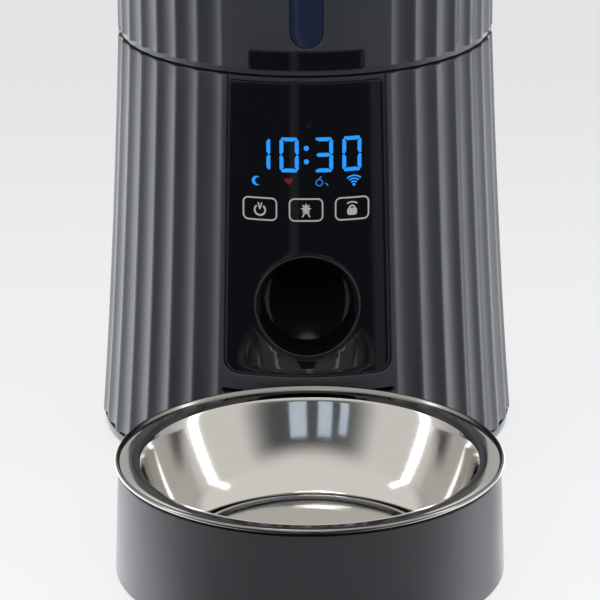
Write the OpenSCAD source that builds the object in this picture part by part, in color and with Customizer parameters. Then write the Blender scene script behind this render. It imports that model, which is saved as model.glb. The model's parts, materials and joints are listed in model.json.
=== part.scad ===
// Automatic pet feeder: a flared, fluted base with a clock panel and a round food outlet, a lift-off
// hopper with a sight window and a lid, and a steel bowl on its own docking stand.
// +Z is up, the front faces -Y, z = 0 is the table, and X = 0 is the plane of symmetry.

/* [Base] */
// Outer radius at the table
base_r = 88.1; // [86:0.1:92]
// Outer radius at the seam between base and hopper
seam_r = 77.8; // [76.5:0.1:79]
// Height of the seam above the table
seam_z = 173; // [170:1:178]
// Wall thickness of the mouldings
wall = 2.4; // [2:0.1:2.8]
// Depth of a flute as a share of the radius
flute_depth = 0.016; // [0.008:0.001:0.02]

/* [Hopper and lid] */
// Height of the hopper above the seam
hopper_h = 165; // [150:1:190]
// Height of the lid above the hopper
lid_h = 24; // [22:1:30]
// Half of the sight window's width
window_half = 6.7; // [5:0.1:9]

/* [Front panel] */
// Half of the glass panel's width at its top
glass_half_top = 30.6; // [29:0.1:31]
// Half of the glass panel's width at its bottom
glass_half_bottom = 33.2; // [32:0.1:33.6]
// Radius of the outlet bezel
outlet_r = 21.4; // [20:0.1:22]
// Height of the outlet's centre
outlet_z = 79; // [77:1:81]

/* [Bowl and stand] */
// Outer radius of the bowl's rolled rim
bowl_r = 75; // [74:0.1:75.5]
// Height of the bowl's rim
bowl_z = 47; // [44:0.1:48]
// Distance from the base's axis to the bowl's axis
bowl_reach = 161.5; // [161.5:0.5:170]
// Outer radius of the stand at the table
stand_r = 75.4; // [74.5:0.1:76]

/* [Drive] */
// Teeth on the rotor's gear
gear_teeth = 26; // [24:1:26]
// Teeth on the motor's pinion
pinion_teeth = 13; // [12:1:13]
// Number of rotor vanes
vane_count = 6; // [4:1:8]

/* [Hidden] */
$fn = 96;
eps = 0.01;                       // overshoot of a cutting shape
fit_gap = 0.15;                   // gap between mouldings that share a seam

// Base heights
foot_h = 2;
cover_top_z = 6.6;                // top of the visible rim of the bottom cover
shell_z = 7.4;                    // bottom of the fluted shell
plate_h = 3;                      // floor plate of the bottom cover
deck_z = 170;                     // top face of the metering deck
chamber_r = 52;                   // inside of the metering chamber
chamber_floor_z = 140;

// Flutes: smooth sectors at the front and the rear, scallops between them
front_smooth = 25.2;
flute_pitch = 8.444;
side_flutes = 15;
rear_smooth = 180 - front_smooth - side_flutes * flute_pitch;
shell_steps = 4;                  // facets across one flute of the base
tube_steps = 6;                   // facets across one flute of the hopper

// Base profile: the flare grows towards the table
flare = [7.2, 1.7, base_r - seam_r - 7.2 - 1.7];
flare_rings = 5;

// The middle of the footprint is at the origin
body_y = (bowl_reach + stand_r - flare_r(shell_z)) / 2;
bowl_y = body_y - bowl_reach;

// Front panel
slot_z = [40.7, 42.8];            // the dark slot below the panel
slot_half_angle = 24.4;
glass_z = 50.4;
glass_top_z = 171.1;
glass_t = 1.2;
glass_inset = 0.3;                // the glass lies just below the shell's face
insert_inset = 0.8;               // and its frame lies a little deeper
frame_w = 1.05;                   // width of the frame that shows round the glass
panel_half_angle = 28;            // wide enough to hold the whole panel
print_t = 0.12;                   // height of printed and lit marks on the glass
digit_h = 14.4;
digit_w = 7.6;
digit_pitch = 11.35;
digit_z = 141.9;
stroke = 1.65;
icon_z = 130.8;
key_z = 119.3;
key_pitch = 18.5;
key_size = [13.8, 9.6];
mic_pos = [0.6, 154.3];
board_y = -66;                    // front face of the display board
board_t = 1.6;

// Outlet and chute
dish_r = 17.1;                    // inner radius of the dished bezel
dish_slope = 0.4;                 // growth of the dish's radius for each mm towards the front
dish_y = -73.2;                   // depth at which the dish ends
drop_y = -34;                     // axis of the vertical drop
bend_z = outlet_z + drop_y - dish_y;   // the run rises at 45 degrees to this bend
chute_r = 15.5;
chute_wall = 1.8;

// Drive train
shaft_r = 3;
gear_module = 1;
gear_z = 122;
gear_h = 6;
pinion_y = gear_module * (gear_teeth + pinion_teeth) / 2;
motor_r = 12;

// Hopper
hopper_z = seam_z + 0.8;
bevel_h = 2.4;
hopper_top_z = hopper_z + hopper_h;
hopper_in_r = seam_r - 1.3 - wall;
funnel_r = 50;
funnel_z = 178;
funnel_top_z = 222;
window_z = 184.7;
window_top_z = hopper_top_z - 14;
plate_size = [45.8, 8.3];         // blank name plate
plate_z = 180.15;

// Lid
lid_z = hopper_top_z + 0.5;
lid_top_z = lid_z + lid_h;
dish_lid_r = 25;
tray_r = 20;

// Rear of the base
door_z = [16, 76];
door_half_angle = 19;
inlet_pos = [-13, 97];
button_pos = [13, 97];

// Bowl
flange_r = 73;
mouth_r = 65;
floor_r = 46;
floor_z = 10.6;
steel_t = 0.8;
stand_top_z = bowl_z - 3.2;

// ---------------------------------------------------------------- helpers

// Outer radius of the base at a height
function flare_r(z) = let (t = 1 - z / seam_z)
    seam_r + flare[0] * t + flare[1] * t * t + flare[2] * t * t * t;

// Share of the radius at an angle from the front: 1 on an arris, less in a flute
function flute_factor(a) = let (b = abs(a))
    (b <= front_smooth || b >= 180 - rear_smooth) ? 1 :
    let (u = (b - front_smooth) / flute_pitch, v = 2 * (u - floor(u)) - 1)
    1 - flute_depth * (1 - v * v);

// Angles of one ring, from the front round by the right to the rear
function half_angles(steps) = concat(
    [for (i = [0 : 4]) front_smooth * i / 5],
    [for (i = [0 : side_flutes * steps - 1]) front_smooth + flute_pitch * i / steps],
    [for (i = [0 : 3]) 180 - rear_smooth * (1 - i / 4)]);
function ring_angles(steps) = let (h = half_angles(steps))
    concat(h, [180], [for (i = [len(h) - 1 : -1 : 1]) -h[i]]);
function ring_point(a, r) = [r * flute_factor(a) * sin(a), -r * flute_factor(a) * cos(a)];

// Points of a flared section between two heights, offset inwards
function flare_points(z0, z1, inset, n = 6) =
    [for (i = [0 : n]) let (z = z0 + (z1 - z0) * i / n) [flare_r(z) - inset, z]];

// Points of a circular arc
function arc(cx, cy, r, a0, a1, n = 6) =
    [for (i = [0 : n]) let (a = a0 + (a1 - a0) * i / n) [cx + r * cos(a), cy + r * sin(a)]];

function reversed(list) = [for (i = [len(list) - 1 : -1 : 0]) list[i]];

module at_body() translate([0, body_y, 0]) children();
module at_bowl() translate([0, bowl_y, 0]) children();

// A sector of the flared wall between two insets, centred on an angle from the front
module flare_sector(z0, z1, outer, inner, half_angle, centre = 0)
    rotate_extrude(angle = 2 * half_angle, start = centre - 90 - half_angle)
        polygon(concat(flare_points(z0, z1, outer), reversed(flare_points(z0, z1, inner))));

// A plate seen from the front, extruded along Y from y0 to y1 (y0 < y1)
module front_prism(y0, y1) translate([0, y1, 0]) rotate([90, 0, 0]) linear_extrude(y1 - y0) children();

// A round bar along Y
module y_rod(r, y0, y1) translate([0, y0, 0]) rotate([-90, 0, 0]) cylinder(r = r, h = y1 - y0);

module rounded_rect(w, h, r) polygon(concat(
    arc(w / 2 - r, h / 2 - r, r, 0, 90), arc(r - w / 2, h / 2 - r, r, 90, 180),
    arc(r - w / 2, r - h / 2, r, 180, 270), arc(w / 2 - r, r - h / 2, r, 270, 360)));

module ring(r_out, r_in, z0, z1) translate([0, 0, z0]) difference() {
    cylinder(r = r_out, h = z1 - z0);
    translate([0, 0, -eps]) cylinder(r = r_in, h = z1 - z0 + 2 * eps);
}

// A box given by its middle in X and Y and by its lower and upper height
module block(cx, cy, w, d, z0, z1) translate([cx - w / 2, cy - d / 2, z0]) cube([w, d, z1 - z0]);

// Thin marks that lie on the curved glass: children are drawn in the front view
module on_glass() intersection() {
    flare_sector(glass_z - 1, glass_top_z + 1, glass_inset - print_t, glass_inset, panel_half_angle);
    front_prism(-base_r - 2, -seam_r / 2) children();
}

// ---------------------------------------------------------------- base mouldings

module fluted_solid(z0, z1) {
    angles = ring_angles(shell_steps);
    n = len(angles);
    heights = [for (i = [0 : flare_rings]) z0 + (z1 - z0) * i / flare_rings];
    points = [for (z = heights) for (a = angles) concat(ring_point(a, flare_r(z)), z)];
    sides = [for (k = [0 : flare_rings - 1]) for (i = [0 : n - 1]) let (j = (i + 1) % n)
        [k * n + i, (k + 1) * n + i, (k + 1) * n + j, k * n + j]];
    polyhedron(points, concat([[for (i = [0 : n - 1]) i]],
        [[for (i = [n - 1 : -1 : 0]) flare_rings * n + i]], sides));
}

module base_shell() color("#3b4048") at_body() difference() {
    union() {
        difference() {
            intersection() {
                fluted_solid(shell_z - 2, seam_z + 2);
                translate([0, 0, shell_z]) cylinder(r = base_r + 10, h = seam_z - shell_z);
            }
            rotate_extrude() polygon(concat([[0, shell_z - 1]],
                flare_points(shell_z - 1, seam_z + 1, 1.3 + wall), [[0, seam_z + 1]]));
        }
        screw_places() translate([0, 0, shell_z + 1]) cylinder(r = 5, h = 20);
    }
    // opening for the front insert, and the dark slot below it
    front_prism(-base_r - 2, -seam_r / 2) insert_outline(frame_w);
    flare_sector(slot_z[0], slot_z[1], -2, wall + 3, slot_half_angle);
    // slot for the stand's tongue
    translate([-20.6, -base_r - 1, 11.6]) cube([41.2, 14, 3.8]);
    // battery door, power inlet and reset button
    flare_sector(door_z[0], door_z[1], -2, wall + 3, door_half_angle + 0.3, 180);
    translate([inlet_pos[0], 0, inlet_pos[1]]) y_rod(5.5, 60, base_r);
    translate([button_pos[0], 0, button_pos[1]]) y_rod(3.58, 60, base_r);
    screw_places() translate([0, 0, shell_z]) cylinder(r = 1.5, h = 18);
}

module screw_places() for (a = [40, 140, 220, 320]) rotate(a) translate([0, -79, 0]) children();

module bottom_cover() color("#33373e") at_body() difference() {
    union() {
        rotate_extrude() polygon(concat([[0, foot_h]],
            arc(flare_r(0) - 2.6, foot_h + 1.6, 1.6, -90, 0), [[flare_r(cover_top_z) - 0.2, cover_top_z],
            [83, cover_top_z], [83, 9], [81, 9], [81, foot_h + plate_h], [0, foot_h + plate_h]]));
        for (x = [-32, 32], y = [-36, 16]) translate([x, y, 4]) cylinder(r = 3, h = 6);
    }
    screw_places() {
        translate([0, 0, foot_h - 1]) cylinder(r = 3.6, h = 3.2);
        cylinder(r = 1.9, h = 12);
        translate([0, 0, foot_h + plate_h]) cylinder(r = 5.3, h = 5);
    }
    // speaker grille
    translate([-52, -22, 0]) {
        cylinder(r = 1.4, h = 8);
        for (a = [0 : 60 : 300]) rotate(a) translate([6.5, 0, 0]) cylinder(r = 1.4, h = 8);
    }
}

module foot_pads() color("#17181a") at_body() for (a = [45 : 90 : 315]) rotate(a)
    translate([62, 0, 0]) cylinder(r = 7.5, h = foot_h);

module cover_screws() color("#a9adb3") at_body() screw_places() difference() {
    union() {
        translate([0, 0, foot_h + 0.4]) cylinder(r = 3.3, h = 1.8);
        translate([0, 0, foot_h + 2]) cylinder(r = 1.45, h = 20);
    }
    translate([-1.9, -0.4, foot_h]) cube([3.8, 0.8, 1.3]);
    translate([-0.4, -1.9, foot_h]) cube([0.8, 3.8, 1.3]);
}

// The outline of the glass: it widens downwards and has larger corners at the bottom
module glass_outline(grow = 0) {
    t = glass_half_top + grow;
    b = glass_half_bottom + grow;
    hi = glass_top_z + grow;
    lo = glass_z - grow;
    polygon(concat(arc(t - 2, hi - 2, 2, 0, 90), arc(2 - t, hi - 2, 2, 90, 180),
        arc(5.2 - b, lo + 5.2, 5.2, 180, 270, 8), arc(b - 5.2, lo + 5.2, 5.2, 270, 360, 8)));
}

// The insert follows the glass at the sides and the bottom, and runs up past the seam
module insert_outline(grow, top = seam_z + 1) {
    t = glass_half_top + grow - 0.05;
    b = glass_half_bottom + grow;
    lo = glass_z - grow;
    polygon(concat([[t, top], [-t, top]],
        arc(6 - b, lo + 6, 6, 180, 270, 8), arc(b - 6, lo + 6, 6, 270, 360, 8)));
}

module front_insert() color("#2b2e34") at_body() difference() {
    intersection() {
        flare_sector(glass_z - 3, seam_z, insert_inset, wall + 1.2, panel_half_angle);
        front_prism(-base_r - 2, -seam_r / 2) insert_outline(frame_w - fit_gap);
    }
    intersection() {
        flare_sector(glass_z - 4, glass_top_z + 3, -1, glass_inset + glass_t + 0.05, panel_half_angle);
        front_prism(-base_r - 2, -seam_r / 2) glass_outline(fit_gap);
    }
    translate([0, 0, outlet_z]) y_rod(outlet_r + 0.5, -base_r - 2, -seam_r / 2);
}

module front_glass() color("#0b0c0e") at_body() difference() {
    intersection() {
        flare_sector(glass_z - 1, glass_top_z + 1, glass_inset, glass_inset + glass_t, panel_half_angle);
        front_prism(-base_r - 2, -seam_r / 2) glass_outline();
    }
    translate([0, 0, outlet_z]) y_rod(outlet_r + 0.2, -base_r - 2, -seam_r / 2);
    translate([mic_pos[0], 0, mic_pos[1]]) y_rod(0.7, -base_r - 2, -seam_r / 2);
}

// ---------------------------------------------------------------- display

// Bars of a seven-segment digit: a top, b and c right, d bottom, e and f left, g middle
function segments_of(n) = n == 0 ? "abcdef" : n == 1 ? "bc" : "abgcd";
module bar(x, z, length, upright) translate([x, z]) rotate(upright ? 90 : 0)
    rounded_rect(length, stroke, 0.4);
module digit(n) {
    h = digit_h / 2 - stroke / 2;
    w = digit_w / 2 - stroke / 2;
    lit = segments_of(n);
    for (s = lit) {
        if (s == "a") bar(0, h, digit_w - 2 * stroke, false);
        if (s == "g") bar(0, 0, digit_w - 2 * stroke, false);
        if (s == "d") bar(0, -h, digit_w - 2 * stroke, false);
        if (s == "b") bar(w, h / 2, h - 0.4, true);
        if (s == "c") bar(w, -h / 2, h - 0.4, true);
        if (s == "e") bar(-w, -h / 2, h - 0.4, true);
        if (s == "f") bar(-w, h / 2, h - 0.4, true);
    }
}

module clock_digits() color("#1f8fff") at_body() on_glass() translate([-0.25, digit_z]) {
    digits = [1, 0, 3, 0];
    for (i = [0 : 3]) translate([(i - 1.5) * digit_pitch + (i < 2 ? -1.2 : 1.2), 0]) digit(digits[i]);
    for (z = [-2.75, 2.75]) translate([0, z]) circle(r = 1);
}

// A crescent, a heart, a kibble pile and a radio fan
module status_icons() color("#1f8fff") at_body() on_glass() translate([-0.3, icon_z]) {
    translate([-19.7, 0]) difference() {
        circle(r = 2.1, $fn = 24);
        translate([1.1, 0.7]) circle(r = 1.8, $fn = 24);
    }
    translate([-6.9, 0]) {
        for (x = [-0.7, 0.7]) translate([x, 0.4]) circle(r = 0.85, $fn = 16);
        polygon([[-1.45, 0], [1.45, 0], [0, -1.8]]);
    }
    translate([6.1, 0]) for (p = [[-0.9, -0.7], [0.9, -0.7], [0, 0.9]]) translate(p) circle(r = 0.8, $fn = 16);
    translate([19.1, -1.6]) {
        circle(r = 0.6, $fn = 16);
        for (r = [1.6, 2.8]) intersection() {
            difference() {
                circle(r = r + 0.25, $fn = 32);
                circle(r = r - 0.25, $fn = 32);
            }
            polygon([[0, 0], [-4, 4], [4, 4]]);
        }
    }
}

module key_frame() difference() {
    rounded_rect(key_size[0], key_size[1], 2);
    rounded_rect(key_size[0] - 1.3, key_size[1] - 1.3, 1.4);
}

// Printed marks: a timer ring, a feeding burst and a padlock
module touch_keys() color("#c8c6be") at_body() on_glass() translate([-0.45, key_z]) {
    for (i = [-1 : 1]) translate([i * key_pitch, 0]) key_frame();
    translate([-key_pitch, 0]) {
        difference() {
            circle(r = 2.3, $fn = 32);
            circle(r = 1.8, $fn = 32);
        }
        translate([-0.25, 0]) square([0.5, 3]);
    }
    for (a = [0 : 45 : 315]) rotate(a) translate([0.3, -0.25]) square([2.2, 0.5]);
    translate([key_pitch, -0.6]) {
        translate([-1.8, -1.6]) square([3.6, 3]);
        difference() {
            translate([0, 1.4]) circle(r = 1.4, $fn = 32);
            translate([0, 1.4]) circle(r = 0.9, $fn = 32);
            translate([-2, -0.6]) square([4, 2]);
        }
    }
}

module display_board() color("#1d5a38") at_body() translate([-26, board_y, 114]) cube([52, board_t, 48]);

module display_module() color("#101114") at_body() translate([-24, board_y - 4.8, 133]) cube([48, 4.7, 18]);

module microphone() color("#9a9ca0") at_body() translate([mic_pos[0], 0, mic_pos[1]]) y_rod(2.2, board_y - 4, board_y - 0.1);

// ---------------------------------------------------------------- outlet

module outlet_bezel() color("#0b0c0e") at_body() difference() {
    intersection() {
        translate([0, 0, outlet_z]) y_rod(outlet_r, -base_r, dish_y);
        rotate_extrude() polygon(concat([[0, 50]], flare_points(50, 110, 0.1), [[0, 110]]));
    }
    translate([0, dish_y - eps, outlet_z]) rotate([90, 0, 0])
        cylinder(r1 = dish_r, r2 = dish_r + 14 * dish_slope, h = 14);
    translate([0, 0, outlet_z]) y_rod(dish_r, dish_y - 1, dish_y + 1);
}

// The sloping run rises at 45 degrees from the mouth to the bend below the drop
module chute_run(r, overrun = 0) intersection() {
    translate([0, drop_y, bend_z]) rotate([135, 0, 0]) cylinder(r = r, h = 90);
    translate([-40, dish_y + 0.2 - overrun, 40]) cube([80, 100, 120]);
}

module chute_space(r, overrun = 0) {
    chute_run(r, overrun);
    translate([0, drop_y, bend_z]) {
        sphere(r = r + 0.3);
        cylinder(r = r, h = chamber_floor_z - 3 - bend_z + overrun);
    }
}

module food_chute() color("#22252a") at_body() difference() {
    chute_space(chute_r + chute_wall);
    chute_space(chute_r, 1);
}

module outlet_sensors() color("#303338") at_body() for (side = [-1, 1])
    block(side * 20.6, -52, 5, 8, 96, 106);

// ---------------------------------------------------------------- metering deck and drive

module metering_deck() color("#2b2e34") at_body() difference() {
    rotate_extrude() polygon([[0, chamber_floor_z - 2.5], [chamber_r + 2.5, chamber_floor_z - 2.5],
        [chamber_r + 2.5, deck_z - 2.5], [73.6, deck_z - 2.5], [73.6, deck_z], [chamber_r + 2.5, deck_z],
        [chamber_r + 2.5, 172], [chamber_r, 172], [chamber_r, chamber_floor_z], [0, chamber_floor_z]]);
    translate([0, drop_y, 120]) cylinder(r = chute_r - 1, h = 30);
    translate([0, 0, 120]) cylinder(r = shaft_r + 0.05, h = 30);
}

module drop_guard() color("#3d4148") at_body() rotate_extrude(angle = 70, start = -125)
    polygon([[13, 165.2], [chamber_r - 0.1, 165.2], [chamber_r - 0.1, 167], [13, 167]]);

module rotor_hub() color("#3f7fb0") at_body() difference() {
    translate([0, 0, 141]) cylinder(r = 8, h = 24);
    translate([0, 0, 140]) cylinder(r = shaft_r, h = 30);
}

module rotor_vanes() color("#7fb2d6") at_body() {
    difference() {
        union() {
            translate([0, 0, 141]) cylinder(r = 9.6, h = 23);
            for (i = [0 : vane_count - 1]) rotate(i * 360 / vane_count)
                translate([8.6, -1, 141]) cube([chamber_r - 0.8 - 8.6, 2, 23]);
        }
        translate([0, 0, 140]) cylinder(r = 8, h = 30);
    }
}

module agitator() color("#b9bdc2") at_body() {
    translate([0, 0, 168.5]) cylinder(r1 = 9, r2 = 3, h = 9);
    difference() {
        translate([0, 0, 165]) cylinder(r = 6, h = 3.5);
        translate([0, 0, 164]) cylinder(r = shaft_r, h = 3.5);
    }
    for (a = [0, 90]) rotate(a) translate([0, 0, 174]) rotate([0, 90, 0])
        translate([0, 0, -34]) cylinder(r = 1.5, h = 68);
}

module drive_shaft() color("#b9bdc2") at_body() translate([0, 0, 117.6])
    cylinder(r = shaft_r, h = 167 - 117.6);

// Involute spur gear with a 25 degree pressure angle, cut thin for backlash
function involute(rb, t) = [rb * (cos(t) + t * PI / 180 * sin(t)), rb * (sin(t) - t * PI / 180 * cos(t))];
module spur(teeth, h, bore) {
    rp = gear_module * teeth / 2;
    rb = rp * cos(25);
    ra = rp + 0.92 * gear_module;
    rf = rp - 1.15 * gear_module;
    t_tip = sqrt(pow(ra / rb, 2) - 1) * 180 / PI;
    t_pitch = tan(25) * 180 / PI;
    half = 90 / teeth - 2.2 * 26 / teeth / 2 + (t_pitch - 25);
    flank = [for (i = [0 : 4]) let (p = involute(rb, t_tip * i / 4), c = cos(half), s = sin(half))
        [p[0] * c + p[1] * s, -p[0] * s + p[1] * c]];
    tooth = concat([[rf * cos(half), -rf * sin(half)]], flank,
        [for (i = [4 : -1 : 0]) [flank[i][0], -flank[i][1]]], [[rf * cos(half), rf * sin(half)]]);
    linear_extrude(h) difference() {
        polygon([for (k = [0 : teeth - 1]) let (c = cos(k * 360 / teeth), s = sin(k * 360 / teeth))
            for (p = tooth) [p[0] * c - p[1] * s, p[0] * s + p[1] * c]]);
        circle(r = bore);
    }
}

module drive_gear() color("#e6e2d6") at_body() translate([0, 0, gear_z])
    rotate(90) spur(gear_teeth, gear_h, shaft_r);

// Half a tooth of turn puts a gap of the pinion on the line of centres
module motor_pinion() color("#c9a24a") at_body() translate([0, pinion_y, gear_z])
    rotate(-90 + 180 / pinion_teeth) spur(pinion_teeth, gear_h, 1.5);

module motor_shaft() color("#b9bdc2") at_body() translate([0, pinion_y, 114.2]) cylinder(r = 1.5, h = 16);

module gearbox_shape(r1, r2, z0, z1) {
    translate([0, 0, z0]) cylinder(r = r1, h = z1 - z0);
    translate([0, pinion_y, z0]) cylinder(r = r2, h = z1 - z0);
}

module gearbox_case() color("#d9d6cc") at_body() difference() {
    gearbox_shape(16, 13.5, 117, 132);
    gearbox_shape(14.6, 9, 119, 133);
    cylinder(r = shaft_r + 0.05, h = 200);
    translate([0, pinion_y, 0]) cylinder(r = 1.56, h = 200);
}

module gearbox_lid() color("#d9d6cc") at_body() difference() {
    gearbox_shape(16, 13.5, 132, 134);
    cylinder(r = shaft_r + 0.05, h = 200);
}

module gear_motor() color("#9fa3a8") at_body() difference() {
    union() {
        translate([0, pinion_y, 88]) cylinder(r = motor_r, h = 28.9);
        translate([0, pinion_y, 85]) cylinder(r = 4, h = 4);
    }
    translate([0, pinion_y, 114]) cylinder(r = 1.56, h = 4);
}

// ---------------------------------------------------------------- electronics and power

module main_board() color("#1d5a38") at_body() {
    block(0, -10, 72, 60, 10, 11.6);
    block(-18, -20, 14, 14, 11.6, 13.2);
    block(14, -24, 20, 12, 11.6, 14);
    for (x = [-24, -8, 8]) translate([x, 10, 11.6]) cylinder(r = 3.5, h = 9);
}

module speaker() color("#2a2a2c") at_body() translate([-52, -22, 5.1]) {
    cylinder(r = 14, h = 3);
    cylinder(r = 10, h = 9);
}

module rear_board() color("#1d5a38") at_body() translate([-24, 58, 84]) cube([48, board_t, 26]);

module power_inlet() color("#151618") at_body() translate([inlet_pos[0], 0, inlet_pos[1]]) {
    difference() {
        y_rod(5.2, 59.7, flare_r(inlet_pos[1]) - 1.4);
        y_rod(3.1, 68, base_r);
    }
    y_rod(1, 67.9, 77);
}

module reset_button() color("#c9cbcf") at_body() translate([button_pos[0], 0, button_pos[1]]) {
    y_rod(3.5, 73.5, flare_r(button_pos[1]) + 0.4);
    y_rod(5, 71.5, 73.6);
    y_rod(1.2, 65.5, 71.6);
}

module button_spring() color("#b9bdc2") at_body() translate([button_pos[0], 0, button_pos[1]])
    for (i = [0 : 3]) difference() {
        y_rod(2.4, 66 + i * 1.4, 66.8 + i * 1.4);
        y_rod(1.7, 65, 74);
    }

module reset_switch() color("#202225") at_body() translate([button_pos[0] - 4, 59.7, button_pos[1] - 4])
    cube([8, 4.3, 8]);

module battery_box() color("#26292e") at_body() difference() {
    intersection() {
        block(0, 68, 56, 26, 14.5, 77.5);
        cylinder(r1 = flare_r(0) - 5.2, r2 = flare_r(90) - 5.2, h = 90);
    }
    block(0, 72, 52, 30, 16.5, 75.5);
}

module battery_contacts() color("#c9cbcf") at_body() for (x = [-16, 0, 16]) {
    translate([x, 66, 16.6]) difference() {
        cylinder(r1 = 5, r2 = 3.4, h = 5);
        translate([0, 0, -eps]) cylinder(r1 = 4.2, r2 = 2.6, h = 5 + 2 * eps);
    }
    translate([x, 66, 74.4]) cylinder(r = 4, h = 1);
}

module battery_door() color("#3b4048") at_body() difference() {
    union() {
        flare_sector(door_z[0] + 0.3, door_z[1] - 0.3, 0, wall, door_half_angle, 180);
        block(0, 81, 18, 3, 70, 75.6);
    }
    translate([0, 0, 64]) y_rod(6, flare_r(64) - 1.2, base_r + 2);
}

// ---------------------------------------------------------------- hopper

module fluted_tube(r, z0, z1) translate([0, 0, z0]) linear_extrude(z1 - z0)
    polygon([for (a = ring_angles(tube_steps)) ring_point(a, r)]);

module window_outline(grow = 0) {
    r = window_half + grow;
    polygon(concat(arc(0, window_top_z - window_half, r, 0, 180, 12),
        arc(0, window_z + window_half, r, 180, 360, 12)));
}

module hopper_shell() color("#3b4048") at_body() difference() {
    union() {
        fluted_tube(seam_r, hopper_z + bevel_h, hopper_top_z);
        translate([0, 0, hopper_z]) cylinder(r1 = seam_r - 1.2, r2 = seam_r - 1.2, h = bevel_h);
    }
    translate([0, 0, hopper_z - 1]) cylinder(r = hopper_in_r, h = hopper_h + 2);
    front_prism(-seam_r - 2, -seam_r / 2) window_outline(0.1);
    intersection() {
        ring(seam_r + 2, seam_r - 0.9, plate_z - 6, plate_z + 6);
        front_prism(-seam_r - 2, -seam_r / 2) translate([0, plate_z])
            rounded_rect(plate_size[0] + 0.2, plate_size[1] + 0.2, 0.9);
    }
}

module hopper_window() color("#31405c") at_body() intersection() {
    ring(seam_r - 0.3, hopper_in_r + 0.3, window_z - 1, window_top_z + 1);
    front_prism(-seam_r - 2, -seam_r / 2) window_outline();
}

module name_plate() color("#101114") at_body() intersection() {
    ring(seam_r - 0.15, seam_r - 0.85, plate_z - 6, plate_z + 6);
    front_prism(-seam_r - 2, -seam_r / 2) translate([0, plate_z])
        rounded_rect(plate_size[0], plate_size[1], 0.8);
}

module hopper_floor() color("#2b2e34") at_body() {
    ring(hopper_in_r - 0.1, 53.2, hopper_z + 0.2, hopper_z + 2.2);
    ring(71, 68, deck_z, hopper_z + 0.3);
}

module hopper_seal() color("#8a8f96") at_body() ring(60, 57, deck_z, hopper_z + 0.2);

module hopper_funnel() color("#3d4148") at_body() rotate_extrude() polygon([
    [funnel_r, hopper_z + 0.2], [funnel_r + 2.5, hopper_z + 0.2], [funnel_r + 2.5, funnel_z],
    [hopper_in_r - 0.1, funnel_top_z - 2.4], [hopper_in_r - 0.1, funnel_top_z],
    [hopper_in_r - 1.2, funnel_top_z], [funnel_r, funnel_z + 0.6]]);

// ---------------------------------------------------------------- lid

module lid_cover() color("#3b4048") at_body() rotate_extrude() polygon(concat(
    [[0, lid_top_z - 13], [dish_lid_r - 3, lid_top_z - 13], [dish_lid_r, lid_top_z - 10],
     [dish_lid_r + 1, lid_top_z - 1], [dish_lid_r + 2, lid_top_z]],
    arc(seam_r - 6.2, lid_top_z - 6.8, 6, 80, 0, 8),
    [[seam_r - 0.2, lid_z], [70.5, lid_z], [70.5, lid_z - 12], [68.3, lid_z - 12],
     [68.3, lid_top_z - 9], [66, lid_top_z - 3.4], [dish_lid_r + 4, lid_top_z - 2.4],
     [dish_lid_r + 2.4, lid_top_z - 12], [dish_lid_r + 2.4, lid_top_z - 24], [dish_lid_r, lid_top_z - 24],
     [dish_lid_r, lid_top_z - 15.4], [0, lid_top_z - 15.4]]));

module lid_handle() color("#4a4f58") at_body() intersection() {
    block(0, 0, 60, 10, lid_top_z - 8.5, lid_top_z - 0.6);
    translate([0, 0, lid_top_z - 13]) cylinder(r1 = dish_lid_r - 0.3, r2 = dish_lid_r + 0.5, h = 13);
}

module lid_seal() color("#8a8f96") at_body() rotate_extrude() polygon([
    [70.5, lid_z - 10], [72.4, lid_z - 10], [hopper_in_r - 0.15, lid_z - 8.6], [72.4, lid_z - 7.2],
    [72.4, lid_z - 5.6], [hopper_in_r - 0.15, lid_z - 4.2], [72.4, lid_z - 2.8], [70.5, lid_z - 2.8]]);

module desiccant_tray() color("#d9dbe0") at_body() rotate_extrude() polygon([
    [0, lid_top_z - 30], [tray_r + 4.6, lid_top_z - 30], [tray_r + 4.6, lid_top_z - 16],
    [tray_r + 3, lid_top_z - 16], [tray_r + 3, lid_top_z - 28.4], [0, lid_top_z - 28.4]]);

// ---------------------------------------------------------------- bowl and stand

module bowl_stand() color("#35393f") difference() {
    union() {
        at_bowl() rotate_extrude() polygon([[0, 1.2], [stand_r - 0.6, 1.2], [stand_r, 1.8],
            [stand_r - 1.1, stand_top_z - 0.6], [stand_r - 1.7, stand_top_z], [70.4, stand_top_z],
            [70.4, 4], [0, 4]]);
        at_body() translate([-20, -88.8, 12]) cube([40, 12, 3]);
    }
    at_body() difference() {
        translate([0, 0, -1]) cylinder(r1 = flare_r(-1) + 0.9, r2 = flare_r(bowl_z) + 0.9, h = bowl_z + 1);
        translate([-20, -88.8, 12]) cube([40, 12, 3]);
    }
}

module stand_feet() color("#17181a") at_bowl() for (a = [30 : 120 : 270]) rotate(a)
    translate([55, 0, 0]) cylinder(r = 6, h = 1.2);

// Pressed steel: rolled bead, flat flange, groove, sloping wall and a floor with a raised ring
module steel_bowl() color("#c8c9cb") at_bowl() rotate_extrude() polygon(concat(
    arc(bowl_r - 1, bowl_z - 1, 1, -90, 90, 8),
    [[flange_r - 0.6, bowl_z - 0.4], [mouth_r + 3.4, bowl_z - 0.5], [mouth_r + 2.6, bowl_z - 1.6],
     [mouth_r + 0.6, bowl_z - 1.6], [mouth_r - 0.4, bowl_z - 2.4]],
    arc(floor_r - 1, floor_z + 9, 9, -18, -90, 6),
    [[31, floor_z], [28, floor_z + 1.6], [0, floor_z + 2.2], [0, floor_z + 2.2 - steel_t],
     [28, floor_z + 1.6 - steel_t], [31, floor_z - steel_t]],
    reversed(arc(floor_r - 1, floor_z + 9, 9 + steel_t, -18, -90, 6)),
    [[mouth_r + 0.2, bowl_z - 3.2], [mouth_r + 3.8, bowl_z - 3.2], [mouth_r + 4.4, bowl_z - 1.4],
     [flange_r - 0.4, bowl_z - 1.3]]));

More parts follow.
